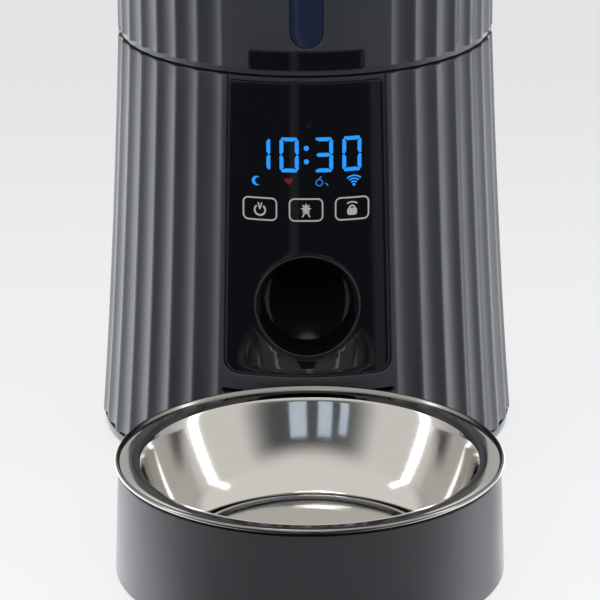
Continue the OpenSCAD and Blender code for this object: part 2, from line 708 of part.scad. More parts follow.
base_shell();
bottom_cover();
foot_pads();
cover_screws();
front_insert();
front_glass();
clock_digits();
status_icons();
touch_keys();
outlet_bezel();
food_chute();
outlet_sensors();
display_board();
display_module();
microphone();
metering_deck();
drop_guard();
rotor_hub();
rotor_vanes();
agitator();
drive_shaft();
drive_gear();
motor_pinion();
motor_shaft();
gearbox_case();
gearbox_lid();
gear_motor();
main_board();
speaker();
rear_board();
power_inlet();
reset_button();
button_spring();
reset_switch();
battery_box();
battery_contacts();
battery_door();
hopper_shell();
hopper_floor();
hopper_funnel();
hopper_seal();
hopper_window();
name_plate();
lid_cover();
lid_handle();
lid_seal();
desiccant_tray();
bowl_stand();
stand_feet();
steel_bowl();
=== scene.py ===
"""Looks of an automatic pet feeder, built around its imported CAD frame.

Shapes are worked out in millimetres in the row frame (front is -Y, up is +Z) and stored in metres.
Walls are drawn as flat cells of (u, v): on a round body u is the arc at UNIT mm a degree and v the height.
"""
import json
from math import asin, atan2, cos, degrees, floor, hypot, pi, radians, sin, sqrt

import bmesh
import bpy
from mathutils import Matrix, Vector
from mathutils.geometry import delaunay_2d_cdt

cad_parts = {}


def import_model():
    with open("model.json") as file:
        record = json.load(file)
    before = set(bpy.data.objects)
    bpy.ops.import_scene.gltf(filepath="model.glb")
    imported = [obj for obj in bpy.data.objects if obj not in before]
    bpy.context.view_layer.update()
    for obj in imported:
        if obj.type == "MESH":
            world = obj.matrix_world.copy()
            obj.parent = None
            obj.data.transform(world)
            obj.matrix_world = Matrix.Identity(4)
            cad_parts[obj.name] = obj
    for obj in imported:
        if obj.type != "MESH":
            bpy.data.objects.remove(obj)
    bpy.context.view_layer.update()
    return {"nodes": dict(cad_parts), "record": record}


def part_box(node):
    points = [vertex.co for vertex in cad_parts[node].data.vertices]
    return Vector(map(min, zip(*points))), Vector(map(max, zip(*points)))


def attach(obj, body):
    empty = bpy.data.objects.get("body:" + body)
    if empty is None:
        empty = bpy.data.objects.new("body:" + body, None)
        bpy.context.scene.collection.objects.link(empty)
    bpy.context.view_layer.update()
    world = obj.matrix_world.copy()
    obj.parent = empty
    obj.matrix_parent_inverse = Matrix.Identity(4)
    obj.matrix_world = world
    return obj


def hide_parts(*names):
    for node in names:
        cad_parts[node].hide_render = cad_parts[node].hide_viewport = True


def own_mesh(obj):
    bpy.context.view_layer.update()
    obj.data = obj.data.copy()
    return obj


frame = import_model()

MM = 0.001


def box_mm(node):
    """Lowest and highest corner of a CAD node, in millimetres."""
    low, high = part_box(node)
    return low / MM, high / MM


# ---------------------------------------------------------------- sizes, from the frame
shell_low, shell_high = box_mm("base_shell")
hopper_low, hopper_high = box_mm("hopper_shell")
lid_low, lid_high = box_mm("lid_cover")
bowl_low, bowl_high = box_mm("steel_bowl")
stand_low, stand_high = box_mm("bowl_stand")
cover_low, _ = box_mm("bottom_cover")
door_low, door_high = box_mm("battery_door")
glass_low, glass_high = box_mm("front_glass")
bezel_low, bezel_high = box_mm("outlet_bezel")
plate_low, plate_high = box_mm("name_plate")
window_low, window_high = box_mm("hopper_window")
inlet_low, inlet_high = box_mm("power_inlet")
button_low, button_high = box_mm("reset_button")

INLET = ((inlet_low.x + inlet_high.x) / 2, (inlet_low.z + inlet_high.z) / 2)      # (x, z) of its axis
BUTTON = ((button_low.x + button_high.x) / 2, (button_low.z + button_high.z) / 2)
BODY_Y = (shell_low.y + shell_high.y) / 2
BOWL_Y = (bowl_low.y + bowl_high.y) / 2
BOWL_RIM_R = bowl_high.x
SHELL_Z = shell_low.z - 0.25   # the joint above the cover is drawn as a fine line
SEAM_Z = shell_high.z
SEAM_R = (hopper_high.y - hopper_low.y) / 2
SHELL_R = (shell_high.y - shell_low.y) / 2

# The base flares towards the table: linear, square and cube terms of the height below the seam
FLARE_1 = 7.2
FLARE_2 = 1.7
SHELL_T = 1 - SHELL_Z / SEAM_Z
FLARE_3 = (SHELL_R - SEAM_R - FLARE_1 * SHELL_T - FLARE_2 * SHELL_T ** 2) / SHELL_T ** 3

# Flutes: smooth sectors in front and at the rear, scallops with rounded arrises between them
FRONT_SMOOTH = 25.2
FLUTE_PITCH = 8.444
SIDE_FLUTES = 15
FLUTE_DEPTH = 0.016
ARRIS_START = 0.78
FLUTE_STEPS = (-1, -0.93, -0.86, -0.78, -0.6, -0.4, -0.2, 0, 0.2, 0.4, 0.6, 0.78, 0.86, 0.93)

UNIT = 1.4                 # mm of arc for a degree in wall drawings
TURN = 360 * UNIT
WALL = 3.7                 # from the arrises to the smooth inner face
DOOR_HALF = 19             # half of the battery door, in degrees

# Front panel
GLASS_TOP = glass_high.z
GLASS_BOTTOM = glass_low.z
GLASS_HALF_TOP = 30.6
GLASS_HALF_BOTTOM = (glass_high.x - glass_low.x) / 2
GLASS_INSET = 0.3
GLASS_T = 1.2
INSERT_INSET = 0.8
FRAME_W = 1.05
FIT_GAP = 0.15
SLOT = (40.7, 42.8)
SLOT_HALF = 24.4
TONGUE_HALF = 20.6
TONGUE_Z = (11.6, 15.4)
OUTLET_Z = (bezel_low.z + bezel_high.z) / 2
OUTLET_R = (bezel_high.x - bezel_low.x) / 2
DISH_R = 17.1
DISH_Y = bezel_high.y - BODY_Y
MIC = (0.6, 154.3)
MARK_T = 0.12              # height of lit and printed marks above the glass


# ---------------------------------------------------------------- outlines, as lists of (x, z)
def arc(cx, cy, r, start, end, steps=6):
    """Points of a circular arc, in degrees."""
    angles = [radians(start + (end - start) * i / steps) for i in range(steps + 1)]
    return [(cx + r * cos(a), cy + r * sin(a)) for a in angles]


def circle(cx, cy, r, steps=48):
    return arc(cx, cy, r, 0, 360, steps)[:-1]


def rounded_box(left, right, low, high, r, steps=6):
    return (arc(right - r, low + r, r, 270, 360, steps) + arc(right - r, high - r, r, 0, 90, steps)
            + arc(left + r, high - r, r, 90, 180, steps) + arc(left + r, low + r, r, 180, 270, steps))


def panel(half_top, half_bottom, low, high, r_top, r_bottom):
    """The glass outline: wider at the bottom, with larger corners there."""
    return (arc(half_bottom - r_bottom, low + r_bottom, r_bottom, 270, 360, 8)
            + arc(half_top - r_top, high - r_top, r_top, 0, 90)
            + arc(r_top - half_top, high - r_top, r_top, 90, 180)
            + arc(r_bottom - half_bottom, low + r_bottom, r_bottom, 180, 270, 8))


def subdivided(loop, step=4.0, closed=True):
    """The same outline with points at most a step apart, so that it follows a curved body."""
    points = []
    pairs = zip(loop, loop[1:] + loop[:1]) if closed else zip(loop, loop[1:])
    for (x0, z0), (x1, z1) in pairs:
        count = max(1, round(hypot(x1 - x0, z1 - z0) / step + 0.49))
        points += [(x0 + (x1 - x0) * i / count, z0 + (z1 - z0) * i / count) for i in range(count)]
    return points if closed else points + [loop[-1]]


def area(loop):
    return sum(x0 * y1 - x1 * y0 for (x0, y0), (x1, y1) in zip(loop, loop[1:] + loop[:1])) / 2


def counterclockwise(loop):
    return loop if area(loop) > 0 else loop[::-1]


def clockwise(loop):
    return counterclockwise(loop)[::-1]


def spaced(start, end, step):
    """Evenly spaced values, both ends included."""
    count = max(1, round(abs(end - start) / step))
    return [start + (end - start) * i / count for i in range(count + 1)]


# ---------------------------------------------------------------- round bodies
def flare(z):
    """Outer radius of the base at a height."""
    t = 1 - z / SEAM_Z
    return SEAM_R + FLARE_1 * t + FLARE_2 * t ** 2 + FLARE_3 * t ** 3


def straight(z):
    return SEAM_R


def flute(angle):
    """Share of the radius that a flute takes away at an angle from the front."""
    a = abs((angle + 180) % 360 - 180) - FRONT_SMOOTH
    if a <= 0 or a >= SIDE_FLUTES * FLUTE_PITCH:
        return 0.0
    v = abs(2 * (a / FLUTE_PITCH - floor(a / FLUTE_PITCH)) - 1)
    if v < ARRIS_START:
        return FLUTE_DEPTH * (ARRIS_START - v * v) / ARRIS_START
    return FLUTE_DEPTH * (1 - v) ** 2 / (1 - ARRIS_START)


def around(angle, r, z):
    return Vector((r * sin(radians(angle)), BODY_Y - r * cos(radians(angle)), z))


def body_surface(radius, inset=0.0, fluted=True):
    """front(u, v, depth) of a wall on a round body."""
    def place(u, z, depth):
        angle = u / UNIT
        r = radius(z) * (1 - (flute(angle) if fluted else 0))
        return around(angle, r - inset - depth, z)
    return place


def body_back(radius, inset):
    return lambda u, z: around(u / UNIT, radius(z) - inset, z)


def on_body(points, radius, rear=False):
    """Turns front-view points (x, z) into wall points (u, v); rear=True puts them at the back."""
    placed = []
    for x, z in points:
        angle = degrees(asin(x / radius(z)))
        placed.append(((180 - angle if rear else angle) * UNIT, z))
    return placed


def wrapped(loop, radius, step=4.0):
    """A front-view outline laid on a round body, with enough points to follow it."""
    return on_body(subdivided(loop, step), radius)


def sheet_outline(left, right, rows, top=None):
    """The outline of a wall sheet, counterclockwise; top replaces its straight upper edge."""
    if top is None:
        top = [(u, rows[-1]) for u in spaced(right, left, 4)]
    return ([(u, rows[0]) for u in spaced(left, right, 4)] + [(right, z) for z in rows[1:-1]]
            + top + [(left, z) for z in rows[-2:0:-1]])


# ---------------------------------------------------------------- mesh tools
class Builder:
    """Collects faces given in millimetres and welds their equal corners."""

    def __init__(self):
        self.bm = bmesh.new()
        self.known = {}
        self.part = 0

    def vertex(self, point):
        key = (self.part, round(point[0], 3), round(point[1], 3), round(point[2], 3))
        if key not in self.known:
            self.known[key] = self.bm.verts.new([c * MM for c in point])
        return self.known[key]

    def face(self, points):
        corners = []
        for point in points:
            corner = self.vertex(point)
            if corner not in corners:
                corners.append(corner)
        if len(corners) > 2:
            self.bm.faces.new(corners)

    def next_part(self):
        """Corners of the following faces aren't welded to those made so far."""
        self.part += 1

    def finish(self, name, sharp=38):
        bmesh.ops.join_triangles(self.bm, faces=[f for f in self.bm.faces if len(f.verts) == 3],
                                 angle_face_threshold=radians(8), angle_shape_threshold=radians(50))
        bmesh.ops.recalc_face_normals(self.bm, faces=self.bm.faces)
        mesh = bpy.data.meshes.new(name)
        self.bm.to_mesh(mesh)
        self.bm.free()
        mesh.shade_smooth()
        mesh.set_sharp_from_angle(angle=radians(sharp))
        piece = bpy.data.objects.new(name, mesh)
        bpy.context.scene.collection.objects.link(piece)
        return piece


def inside(point, loop):
    x, y = point
    odd = False
    for (x0, y0), (x1, y1) in zip(loop, loop[1:] + loop[:1]):
        if (y0 > y) != (y1 > y) and x < x0 + (y - y0) * (x1 - x0) / (y1 - y0):
            odd = not odd
    return odd


def patch(outline, holes=(), step=(3.0, 4.0), creases=()):
    """Cells that fill an outline, less its holes, on a regular net. Creases are heights of straight edges."""
    loops = [counterclockwise(list(outline))] + [clockwise(list(h)) for h in holes]
    points = []
    edges = []
    for loop in loops:
        first = len(points)
        points += loop
        edges += [(first + i, first + (i + 1) % len(loop)) for i in range(len(loop))]
    us = [p[0] for p in loops[0]]
    vs = [p[1] for p in loops[0]]
    for v in creases:
        first = len(points)
        points += [(u, v) for u in spaced(min(us), max(us), step[0])]
        edges += [(i, i + 1) for i in range(first, len(points) - 1)]
    border = list(points)
    clear = 0.4 * min(step)
    for u in spaced(min(us), max(us), step[0])[1:-1]:
        for v in spaced(min(vs), max(vs), step[1])[1:-1]:
            if not inside((u, v), loops[0]) or any(inside((u, v), hole) for hole in loops[1:]):
                continue
            if all(abs(u - p[0]) > clear or abs(v - p[1]) > clear for p in border):
                points.append((u, v))
    result = delaunay_2d_cdt([Vector(p) for p in points], edges, [], 0, 1e-5)
    corners = [points[origin[0]] if origin else tuple(vertex) for vertex, origin in zip(result[0], result[3])]
    cells = []
    for triangle in result[2]:
        cell = [corners[i] for i in triangle]
        middle = (sum(p[0] for p in cell) / 3, sum(p[1] for p in cell) / 3)
        if inside(middle, loops[0]) and not any(inside(middle, hole) for hole in loops[1:]):
            cells.append(counterclockwise(cell))
    return cells


def grid(columns, rows):
    return [[(u0, v0), (u1, v0), (u1, v1), (u0, v1)]
            for u0, u1 in zip(columns, columns[1:]) for v0, v1 in zip(rows, rows[1:])]


def wall_key(point):
    return round(point[0] % TURN, 3) % TURN, round(point[1], 3)


def border_offsets(cells):
    """Loops of border points, each with its unit step away from the cells, mitred at corners."""
    edges = {}
    for cell in cells:
        for p, q in zip(cell, cell[1:] + cell[:1]):
            edges[wall_key(p), wall_key(q)] = (p, q)
    following = {a: (b, pair) for (a, b), pair in edges.items() if (b, a) not in edges}
    loops = []
    while following:
        start = next(iter(following))
        chain = []
        at = start
        while at in following:
            target, pair = following.pop(at)
            chain.append(pair)
            at = target
        loop = []
        for (p0, q0), (p1, q1) in zip(chain[-1:] + chain[:-1], chain):
            n0 = side_normal(p0, q0)
            n1 = side_normal(p1, q1)
            share = 1 + n0[0] * n1[0] + n0[1] * n1[1]
            loop.append((p1, ((n0[0] + n1[0]) / share, (n0[1] + n1[1]) / share)))
        loops.append(loop)
    return loops


def side_normal(p, q):
    du, dv = q[0] - p[0], q[1] - p[1]
    length = hypot(du, dv)
    return dv / length, -du / length


def add_wall(builder, cells, front, back, edge=0.4, steps=4):
    """A closed wall: the cells in front, a rounded edge round every border, and the cells at the back.

    The cells stop short of the true border by edge, the radius of the rounding.
    """
    true_border = {}
    for loop in border_offsets(cells):
        rings = []
        for k in range(steps + 1):
            turn = radians(90 * k / steps)
            out, depth = edge * sin(turn), edge * (1 - cos(turn))
            rings.append([front(p[0] + n[0] * out, p[1] + n[1] * out, depth) for p, n in loop])
        edge_points = [(p[0] + n[0] * edge, p[1] + n[1] * edge) for p, n in loop]
        true_border.update((wall_key(p), moved) for (p, n), moved in zip(loop, edge_points))
        rings.append([back(u, v) for u, v in edge_points])
        for near, far in zip(rings, rings[1:]):
            for i in range(len(near)):
                builder.face([near[i - 1], far[i - 1], far[i], near[i]])
    for cell in cells:
        builder.face([front(u, v, 0) for u, v in cell])
        builder.face([back(*true_border.get(wall_key(p), p)) for p in reversed(cell)])
    builder.next_part()


def filleted(points, steps=5):
    """A closed outline of (r, z) or (r, z, radius) corners, with the radii as arcs."""
    outline = []
    for i, corner in enumerate(points):
        here = Vector(corner[:2])
        radius = corner[2] if len(corner) > 2 else 0
        if radius == 0:
            outline.append(tuple(here))
            continue
        before = (Vector(points[i - 1][:2]) - here).normalized()
        after = (Vector(points[(i + 1) % len(points)][:2]) - here).normalized()
        half = before.angle(after) / 2
        reach = radius / max(0.05, abs(sin(half) / cos(half)))
        centre = here + (before + after).normalized() * (radius / sin(half))
        start = here + before * reach - centre
        end = here + after * reach - centre
        sweep = (atan2(end.y, end.x) - atan2(start.y, start.x) + pi) % (2 * pi) - pi
        for k in range(steps + 1):
            turn = atan2(start.y, start.x) + sweep * k / steps
            outline.append((centre.x + radius * cos(turn), centre.y + radius * sin(turn)))
    return outline


def add_lathe(builder, profile, place, segments=192):
    """Revolves a closed profile of (r, height); place(turn, r, height) gives each point."""
    turns = [2 * pi * i / segments for i in range(segments + 1)]
    turns[-1] = 0.0
    for (r0, z0), (r1, z1) in zip(profile, profile[1:] + profile[:1]):
        if r0 < 1e-6 and r1 < 1e-6:
            continue
        for a, b in zip(turns, turns[1:]):
            builder.face([place(a, r0, z0), place(b, r0, z0), place(b, r1, z1), place(a, r1, z1)])
    builder.next_part()


def add_loft(builder, rings, capped=True):
    """Skins closed rings of points, one after another. Without caps the last one joins the first."""
    pairs = zip(rings, rings[1:]) if capped else zip(rings[-1:] + rings[:-1], rings)
    for near, far in pairs:
        for k in range(len(near)):
            builder.face([near[k - 1], near[k], far[k], far[k - 1]])
    if capped:
        builder.face(rings[0])
        builder.face(rings[-1])


def about_z(x, y):
    """Places lathe points about an upright axis."""
    return lambda turn, r, z: Vector((x + r * cos(turn), y + r * sin(turn), z))


def about_y(x, z):
    """Places lathe points about an axis along Y; the profile's heights are Y."""
    return lambda turn, r, y: Vector((x + r * cos(turn), y, z + r * sin(turn)))


def lathe(name, profile, place, segments=192):
    builder = Builder()
    add_lathe(builder, filleted(profile), place, segments)
    return builder.finish(name)


def add_block(builder, low, high, r=0.4, steps=3):
    """A box with its twelve edges rounded."""
    part = bmesh.new()
    bmesh.ops.create_cube(part, size=1)
    size = Vector(high) - Vector(low)
    middle = (Vector(high) + Vector(low)) / 2
    for v in part.verts:
        v.co = Vector([middle[i] + v.co[i] * size[i] for i in range(3)])
    bmesh.ops.bevel(part, geom=part.edges[:], offset=r, segments=steps, affect="EDGES", profile=0.5)
    for f in part.faces:
        builder.face([v.co for v in f.verts])
    part.free()
    builder.next_part()


# ---------------------------------------------------------------- material tools
def node(tree, kind, settings=None, **inputs):
    """A shader node; inputs are sockets to link or values to set, with _ for a space in a name."""
    made = tree.nodes.new("ShaderNode" + kind)
    for key, value in (settings or {}).items():
        setattr(made, key, value)
    for key, value in inputs.items():
        socket = made.inputs[int(key[1:])] if key[0] == "i" and key[1:].isdigit() else made.inputs[
            key.replace("_", " ")]
        if isinstance(value, bpy.types.NodeSocket):
            tree.links.new(value, socket)
        else:
            socket.default_value = value
    return made


def math(tree, operation, a, b=0.0):
    return node(tree, "Math", {"operation": operation}, i0=a, i1=b).outputs[0]


def remap(tree, value, low, high, to_low, to_high):
    """A smooth step from one value to another."""
    return node(tree, "MapRange", {"interpolation_type": "SMOOTHSTEP"}, Value=value, From_Min=low,
                From_Max=high, To_Min=to_low, To_Max=to_high).outputs[0]


def band(tree, value, centre, half):
    """1 inside a band of values, 0 outside, with soft edges."""
    away = math(tree, "ABSOLUTE", math(tree, "SUBTRACT", value, centre))
    return remap(tree, away, half * 0.6, half, 1, 0)


def mix(tree, share, a, b):
    """Blends two colours or colour sockets."""
    made = node(tree, "Mix", {"data_type": "RGBA", "clamp_result": False}, i0=share)
    for index, value in ((6, a), (7, b)):
        if isinstance(value, bpy.types.NodeSocket):
            tree.links.new(value, made.inputs[index])
        else:
            made.inputs[index].default_value = (*value[:3], 1)
    return made.outputs[2]


def noise(tree, place, size_mm, detail=3.0, roughness=0.55):
    """Noise between 0 and 1 with features of a size in millimetres."""
    return node(tree, "TexNoise", Vector=place, Scale=1 / (size_mm * MM), Detail=detail,
                Roughness=roughness).outputs["Fac"]


def bump(tree, height, millimetres):
    return node(tree, "Bump", Height=height, Strength=1.0, Distance=millimetres * MM).outputs["Normal"]


def new_material(name, **constants):
    """A material with its shader; constants go straight on the shader's sockets."""
    material = bpy.data.materials.new(name)
    material.use_nodes = True
    tree = material.node_tree
    shader = tree.nodes["Principled BSDF"]
    for key, value in constants.items():
        shader.inputs[key.replace("_", " ")].default_value = value
    place = node(tree, "TexCoord").outputs["Object"]
    return material, tree, shader, place


def feed(tree, shader, **sockets):
    for key, socket in sockets.items():
        tree.links.new(socket, shader.inputs[key.replace("_", " ")])


def shade(colour, factor):
    return tuple(min(1.0, c * factor) for c in colour)


# ---------------------------------------------------------------- materials
def moulded_plastic(name, colour, roughness, grain=0.35, relief=0.004, worn=0.25):
    """Spark-eroded moulding: fine grain, cloudy gloss, and arrises rubbed a little paler."""
    material, tree, shader, place = new_material(name, IOR=1.49)
    cloud = noise(tree, place, 55, 4)
    fine = noise(tree, place, grain, 2)
    point = node(tree, "NewGeometry").outputs["Pointiness"]
    edge = math(tree, "MULTIPLY", remap(tree, point, 0.52, 0.60, 0, worn), cloud)
    body = mix(tree, cloud, shade(colour, 0.92), shade(colour, 1.08))
    body = mix(tree, edge, body, shade(colour, 2.2))
    rough = math(tree, "ADD", remap(tree, cloud, 0.3, 0.7, roughness - 0.03, roughness + 0.03),
                 math(tree, "MULTIPLY", fine, 0.04))
    feed(tree, shader, Base_Color=body, Roughness=rough, Normal=bump(tree, fine, relief))
    return material


def polished_plastic(name, colour, roughness):
    """Polished acrylic: faint waviness, and a few wipe marks that only show in the gloss."""
    material, tree, shader, place = new_material(name, IOR=1.49)
    wave = noise(tree, place, 18, 1)
    wipe = node(tree, "Mapping", Vector=place, Scale=(1, 1, 0.25)).outputs[0]
    smear = noise(tree, wipe, 9, 5)
    body = mix(tree, smear, shade(colour, 0.85), shade(colour, 1.15))
    rough = remap(tree, smear, 0.45, 0.75, roughness, roughness + 0.05)
    feed(tree, shader, Base_Color=body, Roughness=rough, Normal=bump(tree, wave, 0.006))
    return material


def spun_steel(name, colour, roughness):
    """Spun stainless steel: fine marks that run round the bowl's axis, and a rougher rolled rim whose colour
    is halved as painted shade.
    """
    material, tree, shader, place = new_material(name, Metallic=1.0)
    centred = node(tree, "VectorMath", {"operation": "SUBTRACT"}, i0=place, i1=(0, BOWL_Y * MM, 0)).outputs[0]
    axes = node(tree, "SeparateXYZ", Vector=centred).outputs
    flat = node(tree, "CombineXYZ", X=axes[0], Y=axes[1]).outputs[0]
    radius = node(tree, "VectorMath", {"operation": "LENGTH"}, i0=flat).outputs["Value"]
    turn = math(tree, "ARCTAN2", axes[1], axes[0])
    rings = node(tree, "CombineXYZ", X=radius, Y=axes[2], Z=math(tree, "MULTIPLY", turn, 0.004)).outputs[0]
    marks = noise(tree, rings, 0.5, 4, 0.7)
    cloud = noise(tree, place, 25, 3)
    bead = remap(tree, radius, (BOWL_RIM_R - 2.0) * MM, (BOWL_RIM_R - 1.6) * MM, 0, 1)
    body = mix(tree, marks, shade(colour, 0.95), shade(colour, 1.03))
    # painted shade: the rolled bead's colour is halved so that it reads darker; only its extra roughness
    # below is the finish
    body = mix(tree, bead, body, shade(colour, 0.5))
    rough = math(tree, "ADD", remap(tree, marks, 0.3, 0.7, roughness, roughness + 0.05),
                 remap(tree, cloud, 0.4, 0.7, 0, 0.03))
    rough = math(tree, "ADD", rough, math(tree, "MULTIPLY", bead, 0.10))
    feed(tree, shader, Base_Color=body, Roughness=rough, Normal=bump(tree, marks, 0.0012))
    return material


def machined_metal(name, colour, roughness):
    """Plated or turned metal with fine scratches and dull spots."""
    material, tree, shader, place = new_material(name, Metallic=1.0)
    stretched = node(tree, "Mapping", Vector=place, Scale=(1, 1, 0.08)).outputs[0]
    scratch = noise(tree, stretched, 0.4, 4, 0.7)
    dull = noise(tree, place, 3, 3)
    body = mix(tree, dull, shade(colour, 0.85), colour)
    rough = math(tree, "ADD", remap(tree, scratch, 0.3, 0.7, roughness, roughness + 0.12),
                 remap(tree, dull, 0.5, 0.8, 0, 0.1))
    feed(tree, shader, Base_Color=body, Roughness=rough, Normal=bump(tree, scratch, 0.002))
    return material


def soft_rubber(name, colour, roughness, clear=0.0):
    """Rubber or silicone: soft mottling and a powdery bloom."""
    material, tree, shader, place = new_material(name, IOR=1.42, Subsurface_Weight=clear,
                                                 Sheen_Weight=0.15, Sheen_Roughness=0.4)
    shader.inputs["Subsurface Radius"].default_value = (0.004, 0.004, 0.005)
    bloom = noise(tree, place, 4, 5)
    fine = noise(tree, place, 0.5, 2)
    body = mix(tree, bloom, shade(colour, 0.85), shade(colour, 1.2))
    feed(tree, shader, Base_Color=body, Roughness=remap(tree, bloom, 0.3, 0.7, roughness - 0.08, roughness),
         Normal=bump(tree, fine, 0.006))
    return material


def smoked_clear(name, colour):
    """Smoky clear polycarbonate, a little scuffed."""
    material, tree, shader, place = new_material(name, IOR=1.52, Transmission_Weight=0.6)
    scuff = noise(tree, place, 6, 5)
    body = mix(tree, scuff, shade(colour, 0.8), shade(colour, 1.25))
    feed(tree, shader, Base_Color=body, Roughness=remap(tree, scuff, 0.4, 0.8, 0.05, 0.14))
    return material


def lit_mark(name, colour, strength):
    """A lit display mark: the diffuser under it is a little uneven."""
    material, tree, shader, place = new_material(name, Roughness=0.35, Emission_Strength=strength)
    spot = noise(tree, place, 2.5, 2)
    glow = mix(tree, spot, shade(colour, 0.82), shade(colour, 1.1))
    feed(tree, shader, Base_Color=mix(tree, spot, shade(colour, 0.1), shade(colour, 0.2)),
         Emission_Color=glow)
    return material


def screen_print(name, colour):
    """Printed ink with a slightly rough, uneven film."""
    material, tree, shader, place = new_material(name, IOR=1.45)
    film = noise(tree, place, 0.6, 4)
    body = mix(tree, film, shade(colour, 0.88), shade(colour, 1.08))
    feed(tree, shader, Base_Color=body, Roughness=remap(tree, film, 0.3, 0.7, 0.42, 0.6),
         Normal=bump(tree, film, 0.004))
    return material


def circuit_board(name, colour):
    """Green solder mask over copper tracks."""
    material, tree, shader, place = new_material(name, IOR=1.5)
    lines = node(tree, "TexBrick", Vector=place, Scale=160.0, Color1=(0, 0, 0, 1),
                 Color2=(0.25, 0.25, 0.25, 1), Mortar=(1, 1, 1, 1)).outputs["Color"]
    weave = noise(tree, place, 0.8, 3)
    body = mix(tree, lines, mix(tree, weave, shade(colour, 0.8), shade(colour, 1.1)), shade(colour, 1.9))
    feed(tree, shader, Base_Color=body, Roughness=remap(tree, weave, 0.3, 0.7, 0.25, 0.4),
         Normal=bump(tree, lines, 0.02))
    return material


# Each slot's maker, colour, and roughness or strength, then a plastic's grain or a rubber's clearness
FINISHES = {
    "shell": (moulded_plastic, (0.036, 0.040, 0.050), 0.37),
    "trim_plastic": (moulded_plastic, (0.024, 0.027, 0.032), 0.46, 0.3),
    "stand_plastic": (moulded_plastic, (0.037, 0.039, 0.044), 0.41, 0.3),
    "gloss_panel": (polished_plastic, (0.0035, 0.0042, 0.0058), 0.06),
    "smoked_window": (smoked_clear, (0.035, 0.05, 0.12)),
    "lit_blue": (lit_mark, (0.013, 0.30, 1.0), 1.0),
    "printed_grey": (screen_print, (0.55, 0.54, 0.52)),
    "rubber_foot": (soft_rubber, (0.013, 0.013, 0.014), 0.85),
    "silicone": (soft_rubber, (0.32, 0.38, 0.43), 0.55, 0.3),
    "screw_steel": (machined_metal, (0.62, 0.63, 0.65), 0.25),
    "motor_can": (machined_metal, (0.48, 0.49, 0.50), 0.35),
    "gear_nylon": (moulded_plastic, (0.74, 0.71, 0.62), 0.5, 0.8),
    "pinion_brass": (machined_metal, (0.75, 0.55, 0.25), 0.22),
    "board_green": (circuit_board, (0.02, 0.14, 0.06)),
    "black_component": (moulded_plastic, (0.016, 0.016, 0.018), 0.5),
    "button_grey": (moulded_plastic, (0.52, 0.53, 0.55), 0.4),
    "desiccant_white": (moulded_plastic, (0.72, 0.73, 0.75), 0.45, 0.6),
    "bowl_steel": (spun_steel, (0.64, 0.63, 0.61), 0.055),
}
MATERIALS = {name: maker(name, *settings) for name, (maker, *settings) in FINISHES.items()}
HEART_RED = lit_mark("lit_red", (0.75, 0.012, 0.02), 0.10)
POLISHED_TRIM = polished_plastic("trim_polished", (0.008, 0.009, 0.011), 0.12)
DIM_BLUE = lit_mark("lit_blue_dim", (0.03, 0.22, 0.62), 0.75)


def dress(piece, body, slot_name, *nodes, material=None):
    """Gives a new piece the material of its slot, puts it on its body, and hides the CAD nodes that it stands
    for.
    """
    piece.data.materials.append(material or MATERIALS[slot_name])
    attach(piece, body)
    if nodes:
        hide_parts(*nodes)


def dress_wall(name, cells, front, back, edge, *looks):
    """A piece that is a single wall; looks are what dress takes after the piece."""
    builder = Builder()
    add_wall(builder, cells, front, back, edge)
    dress(builder.finish(name), *looks)


def dress_turned(name, profile, y, *looks, segments=192):
    """A piece turned about an upright axis."""
    dress(lathe(name, profile, about_z(0, y), segments), *looks)


# ---------------------------------------------------------------- base shell and cover
def side_columns():
    """Columns from the front's right arris round by the rear to its left one, without the rear patch."""
    right = [(FRONT_SMOOTH + FLUTE_PITCH * (i + (v + 1) / 2)) * UNIT
             for i in range(SIDE_FLUTES) for v in FLUTE_STEPS]
    right.append((FRONT_SMOOTH + SIDE_FLUTES * FLUTE_PITCH) * UNIT)
    left = [TURN - u for u in reversed(right)]
    return right, left


def insert_half(z, grow):
    """Half of the insert's width at a height."""
    low = GLASS_BOTTOM - grow
    top = SEAM_Z + 1
    share = (z - low - 6) / (top - low - 6)
    return (GLASS_HALF_BOTTOM + grow) * (1 - share) + (GLASS_HALF_TOP + grow - 0.05) * share


def aperture(grow, top):
    """The insert's side and bottom outline in the front view, from its right top round to its left top."""
    low = GLASS_BOTTOM - grow
    half = GLASS_HALF_BOTTOM + grow
    right = [(insert_half(z, grow), z) for z in spaced(top, low + 6, 6)]
    corner = arc(half - 6, low + 6, 6, 0, -90, 8)[1:]
    bottom = [(x, low) for x in spaced(half - 6, 0, 4)[1:]]
    half_path = right + corner + bottom
    return half_path + [(-x, z) for x, z in reversed(half_path[:-1])]


